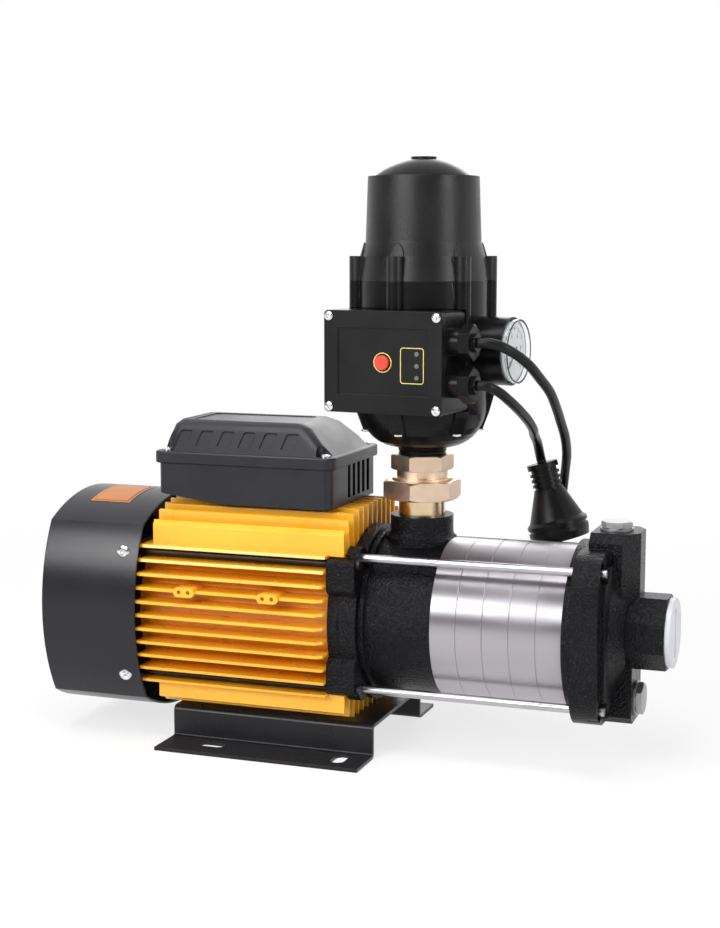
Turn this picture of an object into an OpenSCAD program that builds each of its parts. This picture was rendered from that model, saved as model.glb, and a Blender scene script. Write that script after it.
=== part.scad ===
// Horizontal multistage pump with an automatic pressure controller.
// X runs along the shaft towards the suction port, Z is up, and the origin lies
// on the floor midway between the two foot slots at the discharge end.

/* [Fits] */
// Gap between a part and the seat that it only faces
seat_gap = 0.3; // [0.2:0.05:0.4]
// Radial clearance of a running fit
running_clearance = 0.05; // [0.02:0.01:0.09]
// Radial clearance round a bolt, rod or screw
pass_clearance = 0.4; // [0.3:0.05:0.6]

/* [Foot] */
// Length of the foot along the shaft
foot_length = 154; // [145:1:165]
// Width of the foot across its two flanges
foot_width = 176; // [170:1:190]
// Width of the raised deck
deck_width = 110; // [104:1:112]
// Thickness of the foot's sheet steel
foot_sheet = 2.5; // [2:0.1:3]
// Outer radius of the foot's bends
foot_bend_r = 4; // [3.2:0.1:4.4]
// End-to-end length of each foot slot
slot_length = 20; // [14:0.5:21]
// Width of each foot slot
slot_width = 10; // [7:0.5:11]
// Distance between the slot pairs along the shaft
slot_pitch_along = 98; // [85:1:104]
// Distance between the slots across the shaft
slot_pitch_across = 137; // [135:1:142]
// Distance from the discharge-end slots to that end of the foot
foot_overhang = 19.5; // [16:0.5:24]

/* [Motor] */
// Height of the shaft above the floor
shaft_height = 94.5; // [92:0.5:100]
// Distance from the shaft down to the foot's deck
deck_drop = 70; // [69:0.5:71]
// Length of the motor frame
frame_length = 158; // [154:1:170]
// Outer radius of the frame's tube
frame_r = 60; // [59:0.5:61]
// Bore radius of the frame's tube
frame_bore_r = 54; // [53:0.5:55]
// Half width of the frame across its side fins
fin_reach = 77; // [76:0.5:78]
// Height of the top fins above the shaft
fin_top_reach = 83; // [82:0.5:84]
// Radius of the arcs that the fin tips follow
fin_arc_r = 130; // [125:1:135]
// Distance between neighbouring fins
fin_pitch = 9.85; // [9.6:0.05:10]
// Thickness of a fin
fin_thickness = 2.2; // [1.8:0.1:2.5]
// Distance that the side fins stop short of the frame's front end
side_fin_setback = 11.5; // [11:0.5:13]
// Size of the chamfer on the side fins' front ends
fin_chamfer = 5; // [3:0.5:7]
// Length of the stator core
stator_length = 92; // [80:1:94]
// Bore radius of the stator
stator_bore_r = 33; // [30:0.5:34]
// Air gap between stator and rotor
air_gap = 0.4; // [0.3:0.05:0.5]
// Overhang of the windings at each end of the stator
winding_overhang = 16; // [14:0.5:17]

/* [Fan cover] */
// Length of the fan cover
fan_cover_length = 75; // [72:1:82]
// Half width of the fan cover
fan_cover_reach = 80.5; // [80:0.5:82]
// Thickness of the fan cover's sheet steel
fan_cover_sheet = 1.5; // [1.2:0.1:1.8]
// Overlap of the fan cover on the motor frame
fan_cover_overlap = 5.5; // [4:0.5:7]
// Radius of the cooling fan
fan_r = 62; // [55:0.5:64]
// Number of fan blades
fan_blades = 8; // [6:1:10]

/* [Terminal box] */
// Length of the terminal box along the shaft
box_length = 134; // [130:1:138]
// Width of the terminal box across the shaft
box_width = 96; // [93:1:98]
// Height of the terminal box's base
box_base_height = 34.5; // [33:0.5:37]
// Height of the lid's rim
lid_rim_height = 8; // [7:0.5:9]
// Height of the lid above its rim
lid_dome_height = 15.5; // [14:0.5:17]
// Distance that the lid's rim stands out beyond the base
lid_lip = 2.5; // [2:0.25:3]
// Wall thickness of the box and lid
box_wall = 2.6; // [2.2:0.1:3]
// Distance from the box to the frame's front end
box_setback = 14.5; // [13:0.5:17]

/* [Wet end] */
// Outer radius of the stage shells
shell_r = 56.5; // [56:0.5:57.5]
// Wall thickness of a stage shell
shell_wall = 1.5; // [1.2:0.1:2]
// Length of one stage
stage_pitch = 18.65; // [18.5:0.05:19.5]
// Bevel on the ends of each stage shell
shell_bevel = 0.45; // [0.3:0.05:0.6]
// Length of the discharge casing
casing_length = 51; // [50:0.5:54]
// Wall thickness of the castings
cast_wall = 6; // [5:0.5:6.5]
// Outer radius of the discharge boss
boss_r = 22.5; // [21.5:0.5:23]
// Height of the discharge boss above the shaft
boss_reach = 73; // [71:0.5:75]
// Distance from the discharge boss's axis to the first stage shell
boss_setback = 23; // [23:0.5:24]
// Radius of a tie rod
tie_rod_r = 3; // [2.5:0.25:3.25]
// Distance of each tie rod from the shaft, across and up
tie_rod_offset = 47; // [46.5:0.5:47.5]
// Half width of the suction cover's flange
cover_reach = 61; // [60.5:0.5:62]
// Thickness of the suction cover's flange
cover_flange = 28; // [27:0.5:30]
// Corner radius of the suction cover's flange
cover_corner_r = 27; // [25:0.5:28]
// Length of the suction cover from its seat to the port's end
cover_length = 62.5; // [61:0.5:66]
// Width across flats of the octagonal suction port
port_flats = 50; // [49:0.5:52]
// Bore radius of the suction port
port_bore_r = 19.5; // [19:0.25:20]
// Height of the priming chamber's top above the shaft
chamber_reach = 69.5; // [68:0.5:71]
// Width of the priming chamber
chamber_width = 48; // [46:0.5:50]
// Distance from the shaft down to the drain plug
drain_drop = 48; // [47:0.5:48.5]
// Outer radius of an impeller
impeller_r = 46; // [44:0.5:48]
// Number of vanes in an impeller
impeller_vanes = 6; // [5:1:7]
// Radius of the shaft in the pump
pump_shaft_r = 7; // [6.5:0.25:7.5]

/* [Union] */
// Radius of the threaded pipe connections
pipe_r = 16.6; // [16.4:0.1:16.8]
// Width across flats of the union nut
union_nut_flats = 49; // [48:0.5:50]
// Height of the union nut
union_nut_height = 13.5; // [13:0.5:15]
// Width across flats of the upper union collar
union_collar_flats = 39; // [38.5:0.5:40]
// Height of the upper union collar
union_collar_height = 10.7; // [10:0.1:12]

/* [Controller] */
// Angle by which the controller is turned clockwise on its union
controller_turn = 7; // [0:1:15]
// Radius of the controller's body
body_r = 45.5; // [44.5:0.5:46.5]
// Wall thickness of the controller's mouldings
body_wall = 3.5; // [3:0.25:4]
// Height of the controller's lower body above its neck
body_height = 117; // [114:1:120]
// Height of the bell from the parting line to its rim
bell_height = 72; // [70:1:75]
// Radius of the bell's rim
bell_rim_r = 39; // [38.5:0.25:39.5]
// Height of the cap on the bell
cap_height = 13.5; // [12.5:0.5:15]
// Radius of the circle on which the screw columns stand
column_circle_r = 46.3; // [46:0.1:46.8]
// Radius of a screw column
column_r = 5.75; // [5.25:0.25:6]
// Width of the control box
panel_width = 88; // [87:0.5:89]
// Height of the control box
panel_height = 69.5; // [68.5:0.5:70.5]
// Distance from the controller's axis to the front of the control box
panel_reach = 66; // [65:0.5:68]
// Thickness of the control box's cover
panel_cover = 6; // [5:0.5:7]
// Radius of the reset button
button_r = 5; // [4:0.5:5.5]
// Travel of the reset button
button_travel = 1.5; // [1:0.25:1.75]
// Outer radius of the gauge's housing
gauge_r = 23.7; // [23:0.1:24.5]
// Distance from the controller's axis to the gauge's face
gauge_reach = 73; // [72:0.5:75]
// Width across flats of the gland nuts
gland_flats = 22; // [21:0.5:22.5]

/* [Leads] */
// Outer radius of the leads
lead_r = 3.5; // [3.2:0.1:3.6]
// Largest radius of the socket's rubber bell
socket_r = 22.4; // [22:0.1:23]
// Length of the socket
socket_length = 58; // [57:0.5:59]
// Radius of the plug's front
plug_r = 18.5; // [18:0.25:19]
// Length of the plug's body
plug_length = 42; // [40:0.5:46]

/* [Hidden] */
$fn = 96;
small_fn = 32;
// Length by which cuts run past the faces that they open
overrun = 1;

// Colours
paint_orange = [0.95, 0.55, 0.08];
sheet_black = [0.09, 0.09, 0.11];
cast_black = [0.07, 0.07, 0.08];
plastic_black = [0.06, 0.06, 0.06];
rubber_black = [0.04, 0.04, 0.04];
steel = [0.78, 0.78, 0.8];
brass = [0.8, 0.65, 0.42];
copper = [0.7, 0.35, 0.15];
ceramic = [0.85, 0.85, 0.8];
white_plastic = [0.93, 0.94, 0.95];

// Places along the shaft
stages = 5;
frame_front = 0;
frame_rear = frame_front - frame_length;
fan_cover_front = frame_rear + fan_cover_overlap;
fan_cover_rear = fan_cover_front - fan_cover_length;
bracket_thickness = 9.5;
bracket_front = frame_front + bracket_thickness;
shells_rear = bracket_front + casing_length;
shells_front = shells_rear + stages * stage_pitch;
boss_x = shells_rear - boss_setback;
cover_front = shells_front + cover_flange;
port_end = shells_front + cover_length;

// Heights
box_seat_cut = 4;
deck_top = shaft_height - deck_drop;
box_floor = shaft_height + fin_top_reach - box_seat_cut;
boss_top = shaft_height + boss_reach;

// Lays a shape's local Z along the shaft, starting at x
module along_shaft(x) {
  translate([x, 0, shaft_height])
    rotate([0, 90, 0])
      children();
}

// Solid cylinder on the shaft's axis
module shaft_disc(x0, x1, r) {
  along_shaft(x0)
    cylinder(h = x1 - x0, r = r);
}

// Tube on the shaft's axis
module shaft_tube(x0, x1, r, bore) {
  difference() {
    shaft_disc(x0, x1, r);
    shaft_disc(x0 - overrun, x1 + overrun, bore);
  }
}

// Rod along X at a place across and above the shaft
module side_rod(x0, x1, y, z, r, fn = 48) {
  translate([x0, y, shaft_height + z])
    rotate([0, 90, 0])
      cylinder(h = x1 - x0, r = r, $fn = fn);
}

// Sweeps a shape drawn across (x) and above (y) the shaft from x0 to x1
module sweep(x0, x1) {
  translate([x0, 0, shaft_height])
    rotate([90, 0, 90])
      linear_extrude(x1 - x0)
        children();
}

// Repeats a part at the four places that mirror y and z about the shaft
module at_corners(y, z) {
  for (sy = [-1, 1], sz = [-1, 1])
    translate([0, sy * y, sz * z])
      children();
}

// Outline bounded by four large arcs, the reach of each side given apart
module frame_outline(side, top, bottom) {
  intersection() {
    translate([fin_arc_r - side, 0])
      circle(fin_arc_r);
    translate([side - fin_arc_r, 0])
      circle(fin_arc_r);
    translate([0, top - fin_arc_r])
      circle(fin_arc_r);
    translate([0, fin_arc_r - bottom])
      circle(fin_arc_r);
  }
}

// Rectangle with round corners, centred on the origin
module round_rectangle(width, height, r, fn = 48) {
  square([width - 2 * r, height], center = true);
  square([width, height - 2 * r], center = true);
  for (sx = [-1, 1], sy = [-1, 1])
    translate([sx * (width / 2 - r), sy * (height / 2 - r)])
      circle(r, $fn = fn);
}

// Slot with round ends along its local X
module slot_outline(length, width) {
  square([length - width, width], center = true);
  for (s = [-1, 1])
    translate([s * (length - width) / 2, 0])
      circle(width / 2);
}

// Prism with flats and bevelled ends along its local Z
module flats_prism(flats, height, sides, bevel) {
  corner_r = flats / 2 / cos(180 / sides);
  intersection() {
    cylinder(h = height, r = corner_r, $fn = sides);
    rotate_extrude()
      polygon([
        [0, 0], [corner_r - 2 * bevel, 0], [corner_r, bevel], [corner_r, height - bevel],
        [corner_r - 2 * bevel, height], [0, height],
      ]);
  }
}

// Points on an arc about a centre
function arc_points(centre, r, from, to, steps = 6) =
  [for (i = [0:steps]) centre + r * [
    cos(from + (to - from) * i / steps),
    sin(from + (to - from) * i / steps),
  ]];

// Foot and its bolts
foot_bolt_r = 3;
foot_bolt_depth = 9;
foot_bolt_head_r = 5.5;
foot_bolt_head = 4;
foot_bolt_along = 45;
foot_bolt_across = 30;
foot_middle = foot_overhang - foot_length / 2;

// Outline of one half of the foot's bent sheet, from its middle to its flange
function foot_half() = concat(
  [[0, deck_top], [0, deck_top - foot_sheet]],
  arc_points([deck_width / 2 - foot_bend_r, deck_top - foot_bend_r],
    foot_bend_r - foot_sheet, 90, 0),
  arc_points([deck_width / 2 - foot_sheet + foot_bend_r, foot_bend_r],
    foot_bend_r, 180, 270),
  [[foot_width / 2, 0], [foot_width / 2, foot_sheet]],
  arc_points([deck_width / 2 - foot_sheet + foot_bend_r, foot_bend_r],
    foot_bend_r - foot_sheet, 270, 180),
  arc_points([deck_width / 2 - foot_bend_r, deck_top - foot_bend_r],
    foot_bend_r, 0, 90)
);

module at_foot_bolts() {
  for (sx = [-1, 1], sy = [-1, 1])
    translate([foot_middle + sx * foot_bolt_along, sy * foot_bolt_across, 0])
      children();
}

module foot_bracket() {
  color(sheet_black)
    difference() {
      translate([foot_overhang - foot_length, 0, 0])
        rotate([90, 0, 90])
          linear_extrude(foot_length) {
            polygon(foot_half());
            mirror([1, 0])
              polygon(foot_half());
          }
      for (s = [-1, 1]) {
        translate([0, s * slot_pitch_across / 2, -overrun])
          rotate(90)
            linear_extrude(foot_sheet + 2 * overrun)
              slot_outline(slot_length, slot_width);
        translate([-slot_pitch_along, s * slot_pitch_across / 2, -overrun])
          linear_extrude(foot_sheet + 2 * overrun)
            slot_outline(slot_length, slot_width);
      }
      at_foot_bolts()
        translate([0, 0, deck_top - foot_sheet - overrun])
          cylinder(h = foot_sheet + 2 * overrun, r = foot_bolt_r + pass_clearance);
    }
}

module foot_bolts() {
  color(steel)
    at_foot_bolts()
      translate([0, 0, deck_top - foot_sheet]) {
        cylinder(h = foot_sheet + foot_bolt_depth, r = foot_bolt_r, $fn = small_fn);
        translate([0, 0, -foot_bolt_head])
          cylinder(h = foot_bolt_head, r = foot_bolt_head_r, $fn = 6);
      }
}

// Motor frame
side_fin_count = 11;
top_fin_count = 13;
shelf = (side_fin_count - 1) / 2;
shelf_z = shelf * fin_pitch;
side_fin_rear = frame_rear + 4;
top_fin_setback = 11.5;
bottom_fin_setback = 14.5;
top_fin_rear = frame_rear + top_fin_setback;
bottom_fin_rear = frame_rear + bottom_fin_setback;
foot_boss_r = 7.5;
lug_places = [-114.5, -50.5];
lug_length = 16;
lug_height = 7;
lug_hole_r = 1.5;
lug_hole_pitch = 7;
lug_standout = 1.5;
lug_fin = 2;

module side_fin_outline() {
  intersection() {
    frame_outline(fin_reach, fin_top_reach, fin_reach);
    for (k = [-shelf:shelf])
      translate([0, k * fin_pitch])
        square([2 * fin_arc_r, fin_thickness], center = true);
  }
}

// Upright fins between the shelf fin and the seat above or below it
module upright_fin_outline(seat) {
  half = (top_fin_count - 1) / 2;
  intersection() {
    frame_outline(fin_reach, fin_top_reach, fin_reach);
    for (k = [-half:half])
      translate([k * fin_pitch - fin_thickness / 2, min(seat, sign(seat) * shelf_z)])
        square([fin_thickness, abs(seat) - shelf_z]);
  }
}

module fin_end_cut() {
  for (s = [-1, 1])
    translate([frame_front - side_fin_setback, s * fin_reach, shaft_height])
      linear_extrude(2 * fin_reach, center = true)
        polygon([
          [overrun, s * overrun], [-fin_chamfer - overrun, s * overrun],
          [overrun, -s * (fin_chamfer + overrun)],
        ]);
}

// Twin-holed lug on a side fin
module fin_lug(x) {
  translate([x, -frame_r, shaft_height + lug_fin * fin_pitch])
    rotate([90, 0, 0])
      difference() {
        linear_extrude(fin_reach - frame_r + lug_standout)
          slot_outline(lug_length, lug_height);
        for (s = [-1, 1])
          translate([s * lug_hole_pitch / 2, 0, lug_hole_r])
            cylinder(h = fin_reach, r = lug_hole_r, $fn = small_fn);
      }
}

module motor_housing() {
  color(paint_orange)
    difference() {
      union() {
        shaft_disc(frame_rear, frame_front, frame_r);
        sweep(side_fin_rear, frame_front - side_fin_setback)
          side_fin_outline();
        sweep(top_fin_rear, frame_front)
          upright_fin_outline(box_floor - shaft_height);
        sweep(bottom_fin_rear, frame_front)
          upright_fin_outline(-deck_drop);
        for (x = lug_places)
          fin_lug(x);
        at_foot_bolts()
          translate([0, 0, deck_top])
            cylinder(h = deck_drop - frame_bore_r + cast_wall, r = foot_boss_r);
      }
      fin_end_cut();
      shaft_disc(frame_rear - overrun, frame_front + overrun, frame_bore_r);
      at_foot_bolts()
        translate([0, 0, deck_top - overrun])
          cylinder(h = foot_bolt_depth + overrun + seat_gap,
            r = foot_bolt_r + running_clearance);
    }
}

// Rear end shield, its ears, the through-bolts and the fan cover's screws
shield_plate = 8;
shield_rim = 4;
shield_recess_r = 44;
shield_rear = frame_rear - shield_plate;
ear_rear = shield_rear - shield_rim;
ear_width = 14;
spigot_length = 4;
spigot_wall = 6;
through_bolt_r = 2.5;
through_bolt_y = 60;
through_bolt_z = (shelf - 0.5) * fin_pitch;
through_bolt_nut = 4;
through_bolt_nut_r = 4.6;
through_bolt_head = 2.4;
through_bolt_head_r = 3.2;
cover_screw_r = 2.5;
cover_screw_head_r = 5;
cover_screw_head = 2.4;
cover_screw_depth = 9;
cover_screw_setback = 12;
cover_screw_x = fan_cover_front - cover_screw_setback;

// Bearings and shaft
rear_journal_r = 7.5;
front_journal_r = 8.5;
rotor_shaft_r = 12;
rear_bearing_r = 17.5;
rear_bearing_width = 11;
front_bearing_r = 20;
front_bearing_width = 12;
front_bearing_standout = 3;
rear_bearing_rear = shield_rear + spigot_length;
rear_bearing_front = rear_bearing_rear + rear_bearing_width;
front_bearing_front = frame_front + front_bearing_standout;
front_bearing_rear = front_bearing_front - front_bearing_width;
shaft_hole_clearance = 1;
shaft_rear_gap = 12;
shaft_end_length = 16;
shaft_rear = fan_cover_rear + shaft_rear_gap;
shaft_front = shells_front + shaft_end_length;
seal_start = bracket_front + cast_wall;

// Distance of the fan cover's side from the shaft's plane at a height
function cover_side(z) = sqrt(pow(fin_arc_r, 2) - pow(z, 2)) - fin_arc_r + fan_cover_reach;

module rear_end_shield() {
  ear_reach = fan_cover_reach - fan_cover_sheet - seat_gap;
  color(sheet_black)
    difference() {
      union() {
        shaft_disc(ear_rear, frame_rear, frame_r);
        shaft_disc(frame_rear, rear_bearing_front, rear_bearing_r + spigot_wall);
        shaft_tube(frame_rear, frame_rear + spigot_length,
          frame_bore_r - running_clearance, frame_bore_r - spigot_wall);
        sweep(ear_rear, frame_rear)
          intersection() {
            frame_outline(ear_reach, ear_reach, ear_reach);
            for (sz = [-1, 1])
              translate([0, sz * through_bolt_z])
                square([2 * fin_arc_r, ear_width], center = true);
          }
      }
      shaft_disc(rear_bearing_rear, rear_bearing_front + overrun,
        rear_bearing_r + running_clearance);
      shaft_disc(ear_rear - overrun, rear_bearing_front, rear_journal_r + shaft_hole_clearance);
      shaft_disc(ear_rear - overrun, shield_rear, shield_recess_r);
      at_corners(through_bolt_y, through_bolt_z)
        side_rod(ear_rear - overrun, frame_rear + overrun, 0, 0,
          through_bolt_r + pass_clearance, small_fn);
      for (sy = [-1, 1], sz = [-1, 1])
        translate([cover_screw_x, 0, shaft_height + sz * through_bolt_z])
          rotate([sy * -90, 0, 0])
            translate([0, 0, cover_side(through_bolt_z) - cover_screw_depth - seat_gap])
              cylinder(h = 2 * cover_screw_depth, r = cover_screw_r + running_clearance,
                $fn = small_fn);
    }
}

// Fan cover: a deep sheet-steel cover with a pierced rear panel
vent_rs = [16, 25, 34, 43, 52, 61];
vent_width = 5;
vent_spoke = 9;

module fan_cover() {
  inner = fan_cover_reach - fan_cover_sheet;
  color(sheet_black)
    difference() {
      sweep(fan_cover_rear, fan_cover_front)
        frame_outline(fan_cover_reach, fan_cover_reach, fan_cover_reach);
      sweep(fan_cover_rear + fan_cover_sheet, fan_cover_front + overrun)
        frame_outline(inner, inner, inner);
      sweep(fan_cover_rear - overrun, fan_cover_rear + fan_cover_sheet + overrun)
        for (r = vent_rs)
          difference() {
            circle(r + vent_width / 2);
            circle(r - vent_width / 2);
            for (a = [45, 135])
              rotate(a)
                square([3 * r, vent_spoke], center = true);
          }
      for (sy = [-1, 1], sz = [-1, 1])
        translate([cover_screw_x, 0, shaft_height + sz * through_bolt_z])
          rotate([sy * -90, 0, 0])
            cylinder(h = fan_cover_reach, r = cover_screw_r + pass_clearance,
              $fn = small_fn);
    }
}

// The head clears the cover's curve, which falls away across its radius
module fan_cover_screws() {
  seat = cover_side(through_bolt_z - cover_screw_head_r) + seat_gap;
  dome_r = 2 * cover_screw_head_r;
  color(steel)
    for (sy = [-1, 1], sz = [-1, 1])
      translate([cover_screw_x, sy * seat, shaft_height + sz * through_bolt_z])
        rotate([sy * -90, 0, 0]) {
          translate([0, 0, -cover_screw_depth])
            cylinder(h = cover_screw_depth + cover_screw_head / 2, r = cover_screw_r,
              $fn = small_fn);
          intersection() {
            cylinder(h = cover_screw_head, r = cover_screw_head_r, $fn = small_fn);
            translate([0, 0, cover_screw_head - dome_r])
              sphere(dome_r, $fn = 64);
          }
        }
}

// Stator and windings
winding_inset = 3;
winding_to_bearing = 10;
stator_front = front_bearing_rear - winding_to_bearing - winding_overhang;
stator_rear = stator_front - stator_length;

module stator_core() {
  color(steel)
    shaft_tube(stator_rear, stator_front, frame_bore_r - running_clearance, stator_bore_r);
}

module winding_ring(x0) {
  width = frame_bore_r - stator_bore_r - 2 * winding_inset;
  along_shaft(x0)
    rotate_extrude()
      translate([(stator_bore_r + frame_bore_r) / 2, winding_overhang / 2])
        round_rectangle(width, winding_overhang, width / 3);
}

module stator_windings() {
  color(copper) {
    winding_ring(stator_front);
    winding_ring(stator_rear - winding_overhang);
  }
}

module motor_through_bolts() {
  color(sheet_black)
    at_corners(through_bolt_y, through_bolt_z) {
      side_rod(ear_rear - through_bolt_nut, bracket_front, 0, 0, through_bolt_r, small_fn);
      side_rod(bracket_front, bracket_front + through_bolt_head, 0, 0,
        through_bolt_head_r, small_fn);
      side_rod(ear_rear - through_bolt_nut, ear_rear, 0, 0, through_bolt_nut_r, 6);
    }
}

// Ball bearing drawn as two races joined by a narrower band
module ball_bearing(x0, x1, r, bore) {
  race = (r - bore) * 0.3;
  land = (x1 - x0) / 4;
  along_shaft(x0)
    rotate_extrude()
      polygon([
        [bore, 0], [bore + race, 0], [bore + race, land], [r - race, land], [r - race, 0], [r, 0],
        [r, x1 - x0], [r - race, x1 - x0], [r - race, x1 - x0 - land],
        [bore + race, x1 - x0 - land], [bore + race, x1 - x0], [bore, x1 - x0],
      ]);
}

module rear_bearing() {
  color(steel)
    ball_bearing(rear_bearing_rear, rear_bearing_front, rear_bearing_r,
      rear_journal_r + running_clearance);
}

module front_bearing() {
  color(steel)
    ball_bearing(front_bearing_rear, front_bearing_front, front_bearing_r,
      front_journal_r + running_clearance);
}

module rotor_core() {
  color(steel)
    shaft_tube(stator_rear, stator_front, stator_bore_r - air_gap, rotor_shaft_r);
}

module shaft() {
  shoulder_rear = rear_bearing_front + seat_gap;
  shoulder_front = front_bearing_rear - seat_gap;
  journal_front = seal_start - seat_gap;
  color(steel) {
    shaft_disc(shaft_rear, shoulder_rear, rear_journal_r);
    shaft_disc(shoulder_rear, shoulder_front, rotor_shaft_r);
    shaft_disc(shoulder_front, journal_front, front_journal_r);
    shaft_disc(journal_front, shaft_front, pump_shaft_r);
  }
}

// Cooling fan: a hub and disc with straight radial blades
fan_disc = 2.5;
fan_width = 26;
fan_hub_wall = 6;
fan_gap = 6;
fan_front = ear_rear - fan_gap;

module cooling_fan() {
  hub = rear_journal_r + fan_hub_wall;
  color(plastic_black)
    difference() {
      union() {
        shaft_disc(fan_front - fan_width, fan_front, hub);
        shaft_disc(fan_front - fan_disc, fan_front, fan_r);
        for (i = [0:fan_blades - 1])
          along_shaft(fan_front - fan_width)
            rotate(i * 360 / fan_blades)
              translate([hub - fan_hub_wall / 2, -fan_disc / 2, 0])
                cube([fan_r - hub, fan_disc, fan_width]);
      }
      shaft_disc(fan_front - fan_width - overrun, fan_front + overrun, rear_journal_r);
    }
}

// Terminal box
box_x1 = frame_front - box_setback;
box_x0 = box_x1 - box_length;
box_middle = (box_x0 + box_x1) / 2;
box_corner_r = 8;
box_groove_count = 5;
box_groove_width = 4.5;
box_groove_depth = 1.4;
box_groove_pitch = 10;
box_groove_inset = 4;
box_ramp_length = 52;
box_ramp_height = 7;
box_floor_top = box_floor + box_ramp_height + box_wall;
lid_rim = box_floor + box_base_height;
lid_top = lid_rim + lid_rim_height + lid_dome_height;
lid_side_slope = 15;
lid_end_slope = 14;
lid_corner_r = 4;
lid_slice = 0.5;
lid_panel_inset = 8;
lid_panel_depth = 0.8;
lid_screw_r = 2;
lid_screw_head_r = 3.6;
lid_screw_head = 2;
lid_screw_depth = 12;
lid_screw_inset = 6;
lid_well_r = 5.5;

module box_plan(extra, fn = 48) {
  translate([box_middle, 0])
    round_rectangle(box_length + 2 * extra, box_width + 2 * extra, box_corner_r + extra, fn);
}

module at_lid_screws() {
  for (x = [box_x0 + lid_screw_inset, box_x1 - lid_screw_inset], s = [-1, 1])
    translate([x, s * (box_width / 2 - lid_screw_inset), 0])
      children();
}

module terminal_box() {
  color(plastic_black)
    difference() {
      union() {
        difference() {
          translate([0, 0, box_floor])
            linear_extrude(box_base_height)
              box_plan(0);
          translate([0, 0, box_floor_top])
            linear_extrude(box_base_height)
              box_plan(-box_wall);
        }
        at_lid_screws()
          translate([0, 0, box_floor])
            cylinder(h = box_base_height, r = lid_screw_r + box_wall, $fn = small_fn);
      }
      at_lid_screws()
        translate([0, 0, lid_rim - lid_screw_depth - seat_gap])
          cylinder(h = lid_screw_depth + seat_gap + overrun,
            r = lid_screw_r + running_clearance, $fn = small_fn);
      for (k = [0:box_groove_count - 1])
        translate([box_x1, (k - 1) * box_groove_pitch, box_floor + box_groove_inset])
          linear_extrude(box_base_height - 2 * box_groove_inset)
            square([2 * box_groove_depth, box_groove_width], center = true);
      translate([box_x0, 0, box_floor])
        rotate([90, 0, 0])
          linear_extrude(box_width + 2 * overrun, center = true)
            polygon([
              [-overrun, -overrun], [box_ramp_length, -overrun], [box_ramp_length, 0],
              [0, box_ramp_height], [-overrun, box_ramp_height],
            ]);
    }
}

module terminal_box_lid() {
  dome_base = lid_rim + lid_rim_height;
  color(plastic_black)
    difference() {
      union() {
        translate([0, 0, lid_rim])
          linear_extrude(lid_rim_height)
            box_plan(lid_lip);
        hull() {
          translate([0, 0, dome_base - lid_slice])
            linear_extrude(lid_slice)
              box_plan(0, small_fn);
          translate([box_middle, 0, lid_top - lid_slice])
            linear_extrude(lid_slice)
              round_rectangle(box_length - 2 * lid_end_slope,
                box_width - 2 * lid_side_slope, lid_corner_r, small_fn);
        }
      }
      translate([0, 0, lid_rim - overrun])
        linear_extrude(lid_rim_height + overrun - box_wall)
          box_plan(-box_wall);
      at_lid_screws() {
        translate([0, 0, lid_rim - overrun])
          cylinder(h = lid_rim_height + 2 * overrun, r = lid_screw_r + pass_clearance,
            $fn = small_fn);
        translate([0, 0, dome_base])
          cylinder(h = lid_dome_height, r = lid_well_r, $fn = small_fn);
      }
      translate([box_middle, 0, lid_top - lid_panel_depth])
        linear_extrude(lid_panel_depth + overrun)
          round_rectangle(box_length - 2 * lid_end_slope - 2 * lid_panel_inset,
            box_width - 2 * lid_side_slope - lid_panel_inset, lid_corner_r / 2, small_fn);
    }
}

module terminal_box_screws() {
  color(steel)
    at_lid_screws() {
      translate([0, 0, lid_rim - lid_screw_depth])
        cylinder(h = lid_screw_depth + lid_rim_height, r = lid_screw_r, $fn = small_fn);
      translate([0, 0, lid_rim + lid_rim_height])
        cylinder(h = lid_screw_head, r = lid_screw_head_r, $fn = small_fn);
    }
}

// Run capacitor, lying in the terminal box
capacitor_r = 12;
capacitor_length = 78;
capacitor_inset = 14;

module run_capacitor() {
  color(white_plastic)
    translate([box_x0 + capacitor_inset, -capacitor_r, box_floor_top + capacitor_r + seat_gap])
      rotate([0, 90, 0])
        cylinder(h = capacitor_length, r = capacitor_r);
}

// Motor bracket: the cast plate between motor and pump
bracket_r = 63.5;
bracket_back = side_fin_setback - seat_gap;
bracket_lug_side = 66;
bracket_lug_top = shelf_z - fin_thickness / 2 - seat_gap;
bracket_lug_low = 26;
bracket_lug_taper = 4;
bracket_lug_depth = 12;
bracket_skirt_r = 64.5;
rod_boss_r = 8;
bearing_hub_wall = 6;
leaf_arc_r = 86;
leaf_width = 8;
leaf_depth = 1.2;

// Lug that takes a motor through-bolt, drawn for the upper right corner
module bracket_lug_outline() {
  polygon([
    [frame_bore_r, bracket_lug_low - bracket_lug_taper],
    [bracket_lug_side - bracket_lug_taper, bracket_lug_low - bracket_lug_taper],
    [bracket_lug_side, bracket_lug_low],
    [bracket_lug_side, bracket_lug_top - bracket_lug_taper / 2],
    [bracket_lug_side - bracket_lug_taper / 2, bracket_lug_top],
    [bracket_lug_side - bracket_lug_depth, bracket_lug_top], [frame_bore_r / 2, frame_bore_r / 2],
  ]);
}

module bracket_lugs() {
  for (mz = [0, 1], my = [0, 1])
    mirror([0, mz])
      mirror([my, 0])
        bracket_lug_outline();
}

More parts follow.
